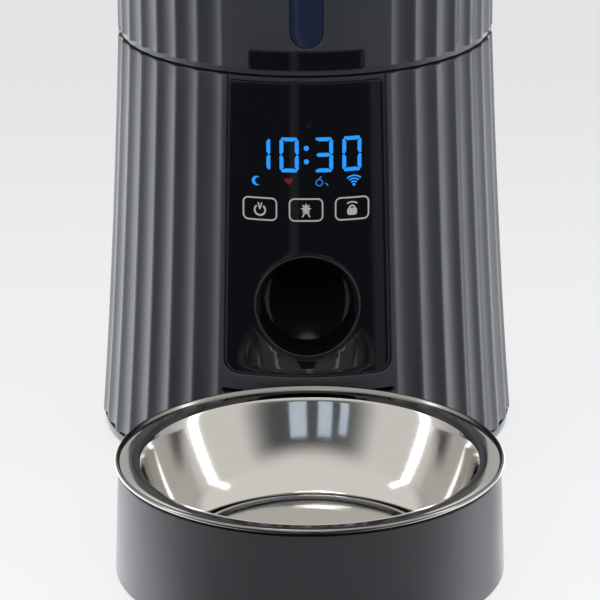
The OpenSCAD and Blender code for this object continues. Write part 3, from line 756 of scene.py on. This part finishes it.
def base_shell():
    edge = 0.45
    rows = spaced(SHELL_Z + edge, SEAM_Z - edge, 7)
    right, left = side_columns()
    front_half = FRONT_SMOOTH * UNIT
    opening = on_body(aperture(FRAME_W + edge, rows[-1]), flare)
    top = [(front_half, rows[-1])] + opening + [(-front_half, rows[-1])]
    outline = sheet_outline(-front_half, front_half, rows, top)
    slot = rounded_box(-SLOT_HALF * UNIT - edge, SLOT_HALF * UNIT + edge, SLOT[0] - edge, SLOT[1] + edge, 1.5)
    tongue = rounded_box(-TONGUE_HALF - edge, TONGUE_HALF + edge, TONGUE_Z[0] - edge, TONGUE_Z[1] + edge, 1.2)
    cells = patch(outline, [subdivided(slot), subdivided(on_body(tongue, flare))])
    door_gap = 0.3
    inlet_r = 5.5
    button_r = 3.58
    rear_half = (180 - FRONT_SMOOTH - SIDE_FLUTES * FLUTE_PITCH) * UNIT
    middle = TURN / 2
    rear = sheet_outline(middle - rear_half, middle + rear_half, rows)
    door_half = (DOOR_HALF + door_gap) * UNIT + edge
    door = rounded_box(middle - door_half, middle + door_half,
                       door_low.z - door_gap - edge, door_high.z + door_gap + edge, 1.6)
    inlet = on_body(circle(*INLET, inlet_r + edge), flare, True)
    button = on_body(circle(*BUTTON, button_r + edge), flare, True)
    cells += patch(rear, [subdivided(door), inlet, button])
    cells += grid(right, rows) + grid(left, rows)
    dress_wall("shell_base", cells, body_surface(flare), body_back(flare, WALL), edge,
               "base", "shell", "base_shell")


def bottom_cover():
    """A floor plate with screw recesses and a speaker grille, inside a rounded rim."""
    floor_low = cover_low.z
    floor_high = floor_low + 3
    edge = 0.2
    screw_ring = 79
    screws = [(screw_ring * sin(radians(a)), -screw_ring * cos(radians(a))) for a in (40, 140, 220, 320)]
    speaker = (-52, -22)
    holes = [circle(x, y, 3.6 + edge, 32) for x, y in screws]
    holes += [circle(x, y, 1.4 + edge, 24) for x, y in [speaker] + circle(*speaker, 6.5, 6)]
    builder = Builder()
    add_wall(builder, patch(circle(0, 0, 83.5, 160), holes, (8, 8)),
             lambda x, y, depth: Vector((x, BODY_Y + y, floor_low + depth)),
             lambda x, y: Vector((x, BODY_Y + y, floor_high)), edge, 2)
    rim_z = 6.8
    rim_r = flare(rim_z - edge) - 0.7
    rim = [(83.2, floor_low), (rim_r - edge, floor_low, 1.6), (rim_r, rim_z, 0.3), (83, rim_z), (83, 9, 0.3),
           (81, 9, 0.3), (81, floor_low + edge)]
    add_lathe(builder, filleted(rim), about_z(0, BODY_Y), 256)
    dress(builder.finish("cover_bottom"), "base", "shell", "bottom_cover")


# ---------------------------------------------------------------- front panel
def outlet_circle(grow, steps=96):
    return circle(0, OUTLET_Z, OUTLET_R + 0.2 + grow, steps)


def front_insert():
    """The matte frame round the glass, and the shelf that the glass lies on."""
    edge = 0.2
    grow = FRAME_W - FIT_GAP
    sides = on_body(aperture(grow - edge, SEAM_Z - edge), flare)
    top = [(u, SEAM_Z - edge) for u in spaced(sides[-1][0], sides[0][0], 4)[1:-1]]
    rim = panel(GLASS_HALF_TOP + FIT_GAP + edge, GLASS_HALF_BOTTOM + FIT_GAP + edge,
                GLASS_BOTTOM - FIT_GAP - edge, GLASS_TOP + FIT_GAP + edge, 2.2, 5.4)
    lap = 0.5
    shelf = panel(GLASS_HALF_TOP + lap, GLASS_HALF_BOTTOM + lap, GLASS_BOTTOM - lap, GLASS_TOP + lap,
                  2.3, 5.6)
    builder = Builder()
    add_wall(builder, patch(sides + top, [wrapped(rim, flare)]),
             body_surface(flare, INSERT_INSET, False), body_back(flare, WALL - 0.1), edge, 3)
    add_wall(builder, patch(wrapped(shelf, flare), [on_body(outlet_circle(lap), flare)]),
             body_surface(flare, GLASS_INSET + GLASS_T + 0.1, False), body_back(flare, WALL - 0.2), 0.1, 1)
    dress(builder.finish("insert_front"), "base", "trim_plastic", "front_insert")


def front_glass():
    edge = 0.3
    outline = panel(GLASS_HALF_TOP - edge, GLASS_HALF_BOTTOM - edge, GLASS_BOTTOM + edge, GLASS_TOP - edge,
                    1.7, 4.9)
    microphone = circle(*MIC, 0.7 + edge, 24)
    cells = patch(wrapped(outline, flare, 2.5),
                  [on_body(outlet_circle(edge), flare), on_body(microphone, flare)], (2.5, 3))
    dress_wall("glass_front", cells, body_surface(flare, GLASS_INSET, False),
               body_back(flare, GLASS_INSET + GLASS_T), edge, "base", "gloss_panel", "front_glass")


def outlet_bezel():
    """A dished ring whose crest follows the curved glass and ends in a thin rounded lip."""
    def crest(r, turn):
        x, z = r * cos(turn), OUTLET_Z + r * sin(turn)
        return -sqrt((flare(z) - 0.1) ** 2 - x * x)

    lip_r = 0.5
    lip = [(OUTLET_R - lip_r + lip_r * cos(radians(a)), lip_r - lip_r * sin(radians(a)))
           for a in range(0, 181, 18)]
    dish_top = lip[-1][0]
    dish_steps = 12
    segments = 160
    place = about_y(0, OUTLET_Z)

    def ring(turn):
        points = [(OUTLET_R, DISH_Y)] + [(r, crest(r, turn) + down) for r, down in lip]
        top_y = crest(dish_top, turn) + lip_r
        for i in range(1, dish_steps + 1):
            share = i / dish_steps
            r = dish_top - (dish_top - DISH_R - 0.15) * share ** 0.85
            points.append((r, top_y + (DISH_Y - 0.35 - top_y) * share))
        points += [(DISH_R, DISH_Y - 0.15), (DISH_R, DISH_Y)]
        return [place(turn, r, BODY_Y + y) for r, y in points]

    builder = Builder()
    add_loft(builder, [ring(2 * pi * i / segments) for i in range(segments)], False)
    dress(builder.finish("bezel_outlet"), "base", "gloss_panel", "outlet_bezel")


# ---------------------------------------------------------------- marks on the glass
def dress_marks(name, slot_name, shapes, *nodes, material=None):
    """Thin raised marks on the glass. A shape is (outline, holes) in the front view."""
    builder = Builder()
    edge = 0.03
    front = body_surface(flare, GLASS_INSET - MARK_T, False)
    back = body_back(flare, GLASS_INSET + 0.02)
    for outline, holes in shapes:
        cells = patch(wrapped(outline, flare, 1.5), [wrapped(hole, flare, 1.5) for hole in holes], (1.2, 1.2))
        add_wall(builder, cells, front, back, edge, 1)
    dress(builder.finish(name), "base", slot_name, *nodes, material=material)


def moved(loop, dx, dz):
    return [(x + dx, z + dz) for x, z in loop]


def segment_bar(dx, dz, length, width, upright, ends=(1.0, 1.0)):
    """A display segment: a bar with mitred ends. ends say how far each end's inner corner draws back."""
    half, w = length / 2, width / 2
    bar = [(-half + w * ends[0], -w), (half - w * ends[0], -w), (half, 0), (half - w * ends[1], w),
           (-half + w * ends[1], w), (-half, 0)]
    if upright:
        bar = [(-z, x) for x, z in bar]
    return moved(counterclockwise(bar), dx, dz)


def digit(number, cx, cz):
    """Seven-segment digit; the outer edges of its rim segments are longer than the inner ones."""
    width, height, stroke = 7.6, 14.2, 1.5
    dx, dz = width / 2 - stroke / 2, height / 2 - stroke / 2
    across, up = width - stroke * 0.75, height / 2 - stroke * 0.62
    lit = {0: "abcdef", 1: "bc", 3: "abgcd"}[number]
    shapes = {"a": (0, dz, across, False, (1.9, 0.4)), "d": (0, -dz, across, False, (0.4, 1.9)),
              "g": (0, 0, across - 0.7, False, (1.0, 1.0)),
              "b": (dx, dz / 2, up, True, (0.5, 1.6)), "c": (dx, -dz / 2, up, True, (0.5, 1.6)),
              "e": (-dx, -dz / 2, up, True, (1.6, 0.5)), "f": (-dx, dz / 2, up, True, (1.6, 0.5))}
    return [(moved(segment_bar(*shapes[s][:2], shapes[s][2], stroke, *shapes[s][3:]), cx, cz), [])
            for s in lit]


def clock_digits():
    centre_x, centre_z, pitch, spread = -0.25, 141.9, 11.35, 1.2
    shapes = []
    for i, number in enumerate((1, 0, 3, 0)):
        offset = -spread if i < 2 else spread
        shapes += digit(number, centre_x + (i - 1.5) * pitch + offset, centre_z)
    for z in (-2.75, 2.75):
        shapes.append((circle(centre_x, centre_z + z, 1.0, 20), []))
    dress_marks("digits", "lit_blue", shapes, "clock_digits")


def fan(cx, cz, radii, line, half_angle=43):
    """Arcs of a radio symbol, each a closed stroke."""
    shapes = []
    for r in radii:
        outer = arc(cx, cz, r + line / 2, 90 - half_angle, 90 + half_angle, 10)
        inner = arc(cx, cz, r - line / 2, 90 + half_angle, 90 - half_angle, 10)
        shapes.append((outer + inner, []))
    return shapes


def heart(cx, cz, size):
    """A heart from its usual parametric curve."""
    points = []
    for i in range(32):
        t = 2 * pi * i / 32
        x = 16 * sin(t) ** 3
        z = 13 * cos(t) - 5 * cos(2 * t) - 2 * cos(3 * t) - cos(4 * t)
        points.append((cx + x * size / 32, cz + (z + 2) * size / 32))
    return points


def status_icons():
    """A lit crescent and radio fan, a dim kibble dish, and a red heart."""
    row = 130.8
    crescent = arc(-20.2, row, 1.9, 57, 303, 20) + arc(-19.3, row, 1.6, 271, 89, 14)
    radio_x = 18.8
    radio = fan(radio_x, row - 1.9, (1.5, 2.7, 3.9), 0.52) + [(circle(radio_x, row - 1.7, 0.55, 16), [])]
    dress_marks("icons_bright", "lit_blue", [(crescent, [])] + radio, "status_icons")
    dish = [(circle(4.9, row - 0.3, 1.5, 28), [circle(4.9, row - 0.3, 1.12, 28)])]
    grain = arc(7.0, row - 1.9, 1.5, 10, 80, 8) + arc(7.0, row - 1.9, 1.12, 80, 10, 8)
    stalk = [(4.6, row + 1.3), (5.0, row + 1.2), (5.9, row + 2.2), (5.6, row + 2.4)]
    dress_marks("icon_dim", "lit_blue", dish + [(grain, []), (stalk, [])], material=DIM_BLUE)
    dress_marks("icon_heart", "lit_blue", [(heart(-7.4, row + 0.2, 3.2), [])], material=HEART_RED)


def touch_keys():
    """Three key outlines with a timer ring, a burst and a padlock."""
    row, pitch, middle = 119.3, 18.5, -0.45
    width, height, line = 13.8, 9.6, 0.55
    shapes = []
    for x in (middle - pitch, middle, middle + pitch):
        box = (x - width / 2, x + width / 2, row - height / 2, row + height / 2)
        hole = (box[0] + line, box[1] - line, box[2] + line, box[3] - line)
        shapes.append((rounded_box(*box, 2.3), [rounded_box(*hole, 1.7)]))
    x = middle - pitch
    shapes.append((arc(x, row - 0.5, 2.45, 128, 412, 32) + arc(x, row - 0.5, 1.8, 412, 128, 32), []))
    for lean in (-0.7, 0.7):
        shapes.append(([(x - 0.22, row - 0.2), (x + 0.22, row - 0.2), (x + lean + 0.26, row + 2.5),
                        (x + lean - 0.26, row + 2.5)], []))
    x = middle
    burst = []
    for i in range(16):
        r = 2.15 if i % 2 == 0 else 1.15
        burst.append((x + r * sin(pi * i / 8), row + 0.5 + r * 1.1 * cos(pi * i / 8)))
    shapes.append((counterclockwise(burst), []))
    for lean in (-1, 1):
        shapes.append((counterclockwise([(x + lean * 0.1, row - 0.9), (x + lean * 0.75, row - 0.9),
                                         (x + lean * 1.75, row - 2.9), (x + lean * 1.2, row - 2.9)]), []))
    x = middle + pitch
    shapes.append((rounded_box(x - 1.95, x + 1.95, row - 2.7, row + 0.2, 0.9), []))
    shapes.append((arc(x, row + 0.15, 1.35, 0, 180, 14) + arc(x, row + 0.15, 0.75, 180, 0, 14), []))
    shapes += fan(x, row - 0.6, (3.3,), 0.5, 38)
    dress_marks("keys", "printed_grey", shapes, "touch_keys")


# ---------------------------------------------------------------- rear fittings
def battery_door():
    edge = 0.4
    middle = TURN / 2
    half = DOOR_HALF * UNIT - edge
    finger_z = 64
    finger_r = 6
    outline = rounded_box(middle - half, middle + half, door_low.z + edge, door_high.z - edge, 1.0)
    finger = on_body(circle(0, finger_z, finger_r + edge, 40), flare, True)
    grip = on_body(circle(0, finger_z, finger_r, 40), flare, True)
    builder = Builder()
    add_wall(builder, patch(subdivided(outline), [finger]), body_surface(flare, 0, False),
             body_back(flare, 2.4), edge)
    add_wall(builder, patch(grip, (), (3, 3)), body_surface(flare, 1.2, False), body_back(flare, 2.5), 0.6, 1)
    add_block(builder, (-9, BODY_Y + 79.5, 70), (9, BODY_Y + 82.5, 75.6))
    dress(builder.finish("door_battery"), "battery_hatch", "shell", "battery_door")


def rear_fittings():
    near = inlet_low.y
    face = inlet_high.y
    socket = [(0, near), (5.2, near, 0.3), (5.2, face, 0.35), (3.1, face, 0.4), (3.1, BODY_Y + 68),
              (1, BODY_Y + 68), (1, BODY_Y + 77, 0.4), (0, BODY_Y + 77)]
    dress(lathe("inlet_power", socket, about_y(*INLET), 64), "base", "black_component", "power_inlet")
    tip = button_high.y
    cap = [(0, button_low.y), (1.2, button_low.y, 0.2), (1.2, BODY_Y + 71.5, 0.2), (5, BODY_Y + 71.5, 0.2),
           (5, BODY_Y + 73.6, 0.2), (3.5, BODY_Y + 73.6, 0.2), (3.5, tip, 0.45), (1.6, tip - 0.25, 0.6),
           (0, tip - 0.3)]
    dress(lathe("button_reset", cap, about_y(*BUTTON), 64), "button", "button_grey", "reset_button")
    spring_low, spring_high = box_mm("button_spring")
    wire = 0.35
    spring = helix("spring_button", BUTTON, 2.05, wire, spring_low.y + wire, spring_high.y + 0.1, 4)
    dress(spring, "base", "screw_steel", "button_spring")
    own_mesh(spring)


def helix(name, centre, radius, wire, y0, y1, turns):
    """A wire coil about an axis along Y, with closed ends."""
    count = 24 * turns
    sides = 10
    rings = []
    for i in range(count + 1):
        turn = 2 * pi * turns * i / count
        y = y0 + (y1 - y0) * i / count
        ring = []
        for k in range(sides):
            a = 2 * pi * k / sides
            r = radius + wire * cos(a)
            ring.append((centre[0] + r * cos(turn), y + wire * sin(a), centre[1] + r * sin(turn)))
        rings.append(ring)
    builder = Builder()
    add_loft(builder, rings)
    return builder.finish(name)


# ---------------------------------------------------------------- hopper and lid
BAND = 2.4                 # smooth band at the hopper's foot
BAND_INSET = 1.2
HOPPER_EDGE = 0.3
# The window and the plate almost touch; each gives way a little, which leaves a thin rib between them
WINDOW_LOW = window_low.z + 0.5
PLATE_TOP = plate_high.z - 0.2


def hopper_surface(u, z, depth):
    """Fluted above the band; the band itself is smooth and leans inwards."""
    angle = u / UNIT
    over = z - hopper_low.z - BAND
    if over > 0.15:
        r = SEAM_R * (1 - flute(angle))
    else:
        r = SEAM_R - BAND_INSET + 0.25 * max(-1.0, over / BAND)
    return around(angle, r - depth, z)


def hopper_shell():
    edge = HOPPER_EDGE
    low, high = hopper_low.z, hopper_high.z
    rows = ([low + edge, low + 1.2, low + BAND, low + BAND + 0.2, low + BAND + 0.8]
            + spaced(low + 6, high - edge, 8))
    right, left = side_columns()
    rear = spaced(right[-1], left[0], 4)
    cells = grid(right + rear[1:-1] + left, rows)
    half = FRONT_SMOOTH * UNIT
    grow = 0.1 + edge
    window = window_outline(grow)
    plate = rounded_box(plate_low.x - grow, plate_high.x + grow, plate_low.z - grow, PLATE_TOP + grow, 1.3)
    cells += patch(sheet_outline(-half, half, rows), [wrapped(window, straight), wrapped(plate, straight)],
                   (3, 6), rows[2:4])
    builder = Builder()
    add_wall(builder, cells, hopper_surface, body_back(straight, WALL), edge)
    backing = rounded_box(plate_low.x, plate_high.x, plate_low.z, PLATE_TOP, 0.6)
    add_wall(builder, patch(wrapped(backing, straight), (), (4, 3)),
             body_surface(straight, 0.9, False), body_back(straight, WALL + 0.1), 0.8, 1)
    dress(builder.finish("shell_hopper"), "hopper", "shell", "hopper_shell")


def window_outline(grow):
    half = (window_high.x - window_low.x) / 2
    return (arc(0, window_high.z - half, half + grow, 0, 180, 16)
            + arc(0, WINDOW_LOW + half, half + grow, 180, 360, 16))


def hopper_fittings():
    edge = 0.7
    recess = 0.3
    dress_wall("window_hopper", patch(wrapped(window_outline(-edge), straight), (), (2, 5)),
               body_surface(straight, recess, False), body_back(straight, WALL - recess), edge,
               "hopper", "smoked_window", "hopper_window")
    edge = 0.4
    plate = rounded_box(plate_low.x + edge, plate_high.x - edge, plate_low.z + edge, PLATE_TOP - edge, 0.6)
    dress_wall("plate_blank", patch(wrapped(plate, straight), (), (3, 2)),
               body_surface(straight, 0.05, False), body_back(straight, 0.85), edge,
               "hopper", "gloss_panel", "name_plate")
    inner = SEAM_R - WALL - 0.1
    low = hopper_low.z
    spigot = box_mm("hopper_floor")[0].z
    base, top = low + 0.2, low + 2.2
    floor_profile = [(inner, base), (inner, top, 0.3), (53.2, top, 0.3), (53.2, base, 0.3),
                     (68, base), (68, spigot, 0.5), (71, spigot, 0.5), (71, base)]
    dress_turned("floor_hopper", floor_profile, BODY_Y, "hopper", "trim_plastic", "hopper_floor")
    seal_low, seal_high = box_mm("hopper_seal")
    seal = [(57, seal_low.z, 0.8), (60, seal_low.z, 0.8), (60, seal_high.z, 0.4), (57, seal_high.z, 0.4)]
    dress_turned("seal_hopper", seal, BODY_Y, "hopper", "silicone", "hopper_seal")
    funnel_low, funnel_high = box_mm("hopper_funnel")
    throat = 50
    funnel = [(throat, funnel_low.z), (throat + 2.5, funnel_low.z), (throat + 2.5, funnel_low.z + 4),
              (inner, funnel_high.z - 2.4, 1), (inner, funnel_high.z, 0.3), (inner - 1.1, funnel_high.z, 0.5),
              (throat, funnel_low.z + 4.6, 3)]
    dress_turned("funnel_hopper", funnel, BODY_Y, "hopper", "trim_plastic", "hopper_funnel")


def lid():
    low, top = lid_low.z + 12, lid_high.z
    dish = 25
    rim = SEAM_R - 0.2
    cover = [(0, top - 13), (dish - 2, top - 13, 2), (dish + 1, top - 1, 0.5), (dish + 3, top, 2),
             (rim - 1.4, top, 6), (rim, low, 0.5), (70.5, low, 0.4), (70.5, low - 12, 0.5),
             (68.3, low - 12, 0.5), (68.3, top - 9, 2), (64, top - 3, 2), (dish + 5, top - 2.4, 1),
             (dish + 2.4, top - 8, 1), (dish + 2.4, top - 24, 0.4), (dish, top - 24, 0.4),
             (dish, top - 15.4, 0.3), (0, top - 15.4)]
    dress_turned("cover_lid", cover, BODY_Y, "lid", "shell", "lid_cover", segments=256)
    seal_low, seal_high = box_mm("lid_seal")
    tip = SEAM_R - WALL - 0.15
    fins = [(70.5, seal_low.z, 0.2), (72.2, seal_low.z, 0.2), (tip, seal_low.z + 1.4, 0.3),
            (72.4, seal_low.z + 2.8, 0.2), (72.4, seal_low.z + 4.4, 0.2), (tip, seal_low.z + 5.8, 0.3),
            (72.2, seal_high.z, 0.2), (70.5, seal_high.z, 0.2)]
    dress_turned("seal_lid", fins, BODY_Y, "lid", "silicone", "lid_seal")
    tray_low, tray_high = box_mm("desiccant_tray")
    outer = (tray_high.x - tray_low.x) / 2
    wall = 1.6
    tray = [(0, tray_low.z), (outer, tray_low.z, 1.2), (outer, tray_high.z, 0.4),
            (outer - wall, tray_high.z, 0.4), (outer - wall, tray_low.z + wall, 0.8), (0, tray_low.z + wall)]
    dress_turned("tray_desiccant", tray, BODY_Y, "desiccant", "desiccant_white", "desiccant_tray",
                 segments=128)


def lid_handle():
    """A finger bar across the dish, waisted in the middle, with rounded edges."""
    low, high = box_mm("lid_handle")
    half = (high.x - low.x) / 2 - 0.1
    rings = []
    for x in spaced(-half, half, 1.6):
        share = abs(x) / half
        depth = 4.0 + 1.0 * share ** 3
        top = high.z - 0.05 - 0.9 * (1 - share ** 2)
        middle_z, tall = (top + low.z) / 2, (top - low.z) / 2
        ring = []
        for k in range(24):
            a = 2 * pi * k / 24
            swell = (abs(cos(a)) ** 4 + abs(sin(a)) ** 4) ** -0.25
            ring.append((x, BODY_Y + depth * swell * cos(a), middle_z + tall * swell * sin(a)))
        rings.append(ring)
    builder = Builder()
    add_loft(builder, rings)
    dress(builder.finish("bar_lid"), "lid", "trim_plastic", "lid_handle")


# ---------------------------------------------------------------- bowl and stand
def bowl_stand():
    foot_r = stand_high.x
    top = stand_high.z
    low = stand_low.z
    well_r = 70.4
    profile = filleted([(0, low), (foot_r, low, 0.8), (foot_r - 1.7, top, 0.8), (well_r, top, 0.4),
                        (well_r, 4, 2), (0, 4)])
    reach = BODY_Y - BOWL_Y

    def place(turn, r, z):
        """The wall steps back where the base stands, a fixed gap in front of its flare."""
        gap_r = flare(z) + 0.95
        across = reach * cos(turn - pi / 2)
        under = across ** 2 - reach ** 2 + gap_r ** 2
        if across > 0 and under > 0 and r > 68:
            r = min(r, across - sqrt(under))
        return Vector((r * cos(turn), BOWL_Y + r * sin(turn), z))

    builder = Builder()
    add_lathe(builder, profile, place, 288)
    add_block(builder, (-20, BODY_Y - 88.6, 12), (20, stand_high.y, 15), 0.6)
    dress(builder.finish("stand_bowl"), "stand", "stand_plastic", "bowl_stand")


def steel_bowl():
    """Pressed sheet: rolled bead, flange, groove, curved wall, and a floor with a raised disc."""
    rim_r = BOWL_RIM_R
    rim = bowl_high.z
    floor_z = 10.6
    sheet = 0.8
    mouth = (64.6, rim - 3.4)
    inner = [(rim_r - 1, rim, 0.8), (rim_r - 1.8, rim - 1.3, 0.25), (71.2, rim - 0.95, 1.2),
             (68.3, rim - 0.85, 0.4), (65.4, rim - 1.75, 0.5), mouth]
    wall = arc_through(mouth, (53.6, 17.6), 0.9, 14)[1:]
    inside_floor = [(46.6, floor_z, 8.0), (31.5, floor_z, 0.8), (29.5, floor_z + 1.6, 0.8),
                    (0, floor_z + 2.2)]
    outer = [(0, floor_z + 2.2 - sheet), (29, floor_z + 1.6 - sheet, 0.8), (31, floor_z - sheet, 0.8),
             (46.8, floor_z - sheet, 8.5)]
    outer_wall = [(r + sheet, z) for r, z in reversed(wall)]
    under = [(66.0, rim - 2.6, 0.4), (68.6, rim - 1.7, 0.5), (73.2, rim - 1.95, 0.2),
             (rim_r, rim - 2.0, 0.9), (rim_r, rim, 0.95)]
    profile = inner + wall + inside_floor + outer + outer_wall + under
    dress_turned("bowl", profile, BOWL_Y, "bowl", "bowl_steel", "steel_bowl", segments=288)


def arc_through(start, end, sag, steps):
    """Points of an arc between two points that bulges outwards by sag."""
    a, b = Vector(start), Vector(end)
    chord = (b - a).length
    radius = (chord ** 2 / 4 + sag ** 2) / (2 * sag)
    along = (b - a).normalized()
    outward = Vector((-along.y, along.x))
    centre = (a + b) / 2 - outward * (radius - sag)
    half = asin(chord / 2 / radius)
    points = []
    for i in range(steps + 1):
        turn = half * (2 * i / steps - 1)
        points.append(tuple(centre + outward * radius * cos(turn) + along * radius * sin(turn)))
    return points


# ---------------------------------------------------------------- carried-over CAD pieces
def dress_cad_nodes():
    """CAD nodes whose shape is right keep it, with small bevels and a material from their slot."""
    finishes = {**MATERIALS, "food_chute": POLISHED_TRIM}
    slots = {part["node"]: part["material_slot"] for part in frame["record"]["subparts"]}
    for name, piece in frame["nodes"].items():
        if piece.hide_render:
            continue
        piece.data.materials.clear()
        piece.data.materials.append(finishes.get(name) or finishes[slots[name]])
        bevel = piece.modifiers.new("edges", "BEVEL")
        bevel.width = 0.15 * MM
        bevel.segments = 2
        bevel.limit_method = "ANGLE"
        bevel.angle_limit = radians(40)
        bevel.harden_normals = False


# ---------------------------------------------------------------- stage, light and camera
def world():
    """A pale studio. Frontness is 1 towards the camera side, 0 sideways and -1 behind.

    Low down it is bright at the sides and behind and dark in front, apart from two faint strips.
    Higher up only the middle of the front is dark, with a narrow strip light at each side, under a
    cream ceiling.
    """
    made = bpy.data.worlds.new("studio")
    bpy.context.scene.world = made
    made.use_nodes = True
    tree = made.node_tree
    direction = node(tree, "TexCoord").outputs["Generated"]
    axes = node(tree, "SeparateXYZ", Vector=direction).outputs
    flat = node(tree, "CombineXYZ", X=axes[0], Y=axes[1]).outputs[0]
    level = node(tree, "VectorMath", {"operation": "LENGTH"}, i0=flat).outputs["Value"]
    span = math(tree, "ADD", level, 0.001)
    frontness = math(tree, "DIVIDE", math(tree, "MULTIPLY", axes[1], -1.0), span)
    sideness = math(tree, "DIVIDE", axes[0], span)

    bright, dark = (2.75, 2.82, 2.92), (0.042, 0.048, 0.055)
    left_strip, right_strip = (0.24, 0.25, 0.27), (0.26, 0.28, 0.31)
    low = mix(tree, remap(tree, frontness, -0.5, 0.55, 0, 1), bright, dark)
    low = mix(tree, band(tree, sideness, -0.125, 0.055), low, left_strip)
    low = mix(tree, band(tree, sideness, 0.70, 0.09), low, right_strip)

    cream, grey_front = (0.85, 0.83, 0.80), (0.10, 0.105, 0.11)
    behind, ceiling, strip_light = (0.55, 0.54, 0.52), (0.92, 0.895, 0.85), (4.5, 4.5, 4.5)
    high = mix(tree, remap(tree, frontness, 0.60, 0.92, 0, 1), cream, grey_front)
    high = mix(tree, remap(tree, frontness, -0.4, 0.0, 0, 1), behind, high)
    high = mix(tree, remap(tree, axes[2], 0.42, 0.56, 0, 1), high, ceiling)
    strip = math(tree, "MULTIPLY", band(tree, frontness, 0.06, 0.08), remap(tree, axes[2], 0.58, 0.70, 1, 0))
    high = mix(tree, strip, high, strip_light)
    sky = mix(tree, remap(tree, axes[2], -0.10, 0.06, 0, 1), low, high)
    background = tree.nodes["Background"]
    tree.links.new(sky, background.inputs["Color"])
    background.inputs["Strength"].default_value = 1.0


def area_light(name, place, target, size, radiance, colour=(1, 1, 1)):
    """A rectangular softbox of a given radiance, aimed at a point."""
    data = bpy.data.lights.new(name, "AREA")
    data.shape = "RECTANGLE"
    data.size, data.size_y = size
    data.energy = radiance * pi * size[0] * size[1]
    data.color = colour
    lamp = bpy.data.objects.new(name, data)
    lamp.location = place
    lamp.rotation_euler = (Vector(target) - Vector(place)).to_track_quat("-Z", "Y").to_euler()
    bpy.context.scene.collection.objects.link(lamp)
    return lamp


def lights():
    target = (0, BODY_Y * MM, 0.15)
    area_light("softbox_top", (-0.12, 0.25, 2.0), target, (0.5, 0.5), 5.0, (1, 0.99, 0.97))
    for x, width in ((-1.65, 0.40), (-0.72, 0.62), (0.48, 0.75)):
        area_light("window", (x, -3.6, 1.0), target, (width, 1.2), 0.75, (0.72, 0.85, 1.0))


def stage():
    """A pale floor that fills the view. It glows, and its glow and colour are painted brighter near the
    camera and darker further back, a painted fall-off of light.
    """
    builder = Builder()
    half = 3500
    for x0, x1 in ((-half, 0), (0, half)):
        builder.face([(x0, -half, 0), (x1, -half, 0), (x1, half, 0), (x0, half, 0)])
    floor_piece = builder.finish("floor")
    material, tree, shader, place = new_material("floor_paper", Roughness=0.9)
    shader.inputs["Specular IOR Level"].default_value = 0.0
    axes = node(tree, "SeparateXYZ", Vector=place).outputs
    # painted light: the floor's colour and its glow fall off with distance from the camera
    depth = remap(tree, axes[1], -0.25, 0.75, 0, 1)
    paper_painted_falloff = mix(tree, depth, (0.16, 0.16, 0.16), (0.13, 0.13, 0.13))
    glow = mix(tree, depth, (0.795, 0.805, 0.81), (0.64, 0.645, 0.65))
    shader.inputs["Emission Strength"].default_value = 1.0
    feed(tree, shader, Base_Color=paper_painted_falloff, Emission_Color=glow)
    floor_piece.data.materials.append(material)
    floor_piece.visible_glossy = False


def camera():
    """A long lens in front of the body, looking down on the bowl."""
    distance, height = 1437, 556.7
    pitch, swing, turn, roll = radians(19.31), radians(0.404), radians(0.30), radians(-0.252)
    data = bpy.data.cameras.new("camera")
    data.sensor_width = 36
    data.sensor_fit = "HORIZONTAL"
    data.lens = 213.98
    data.clip_end = 50
    view = bpy.data.objects.new("camera", data)
    forward = Vector((sin(turn) * cos(pitch), cos(turn) * cos(pitch), -sin(pitch)))
    level = Vector((cos(turn), -sin(turn), 0))
    upright = level.cross(forward)
    right = level * cos(roll) + upright * sin(roll)
    up = upright * cos(roll) - level * sin(roll)
    axes = Matrix((right, up, -forward)).transposed()
    view.matrix_world = axes.to_4x4()
    view.location = (-distance * sin(swing) * MM, (BODY_Y - distance * cos(swing)) * MM, height * MM)
    bpy.context.scene.collection.objects.link(view)
    bpy.context.scene.camera = view


camera()
base_shell()
bottom_cover()
front_insert()
front_glass()
outlet_bezel()
clock_digits()
status_icons()
touch_keys()
battery_door()
rear_fittings()
hopper_shell()
hopper_fittings()
lid()
lid_handle()
bowl_stand()
steel_bowl()
dress_cad_nodes()
world()
lights()
stage()
bpy.context.scene.view_settings.view_transform = "Standard"
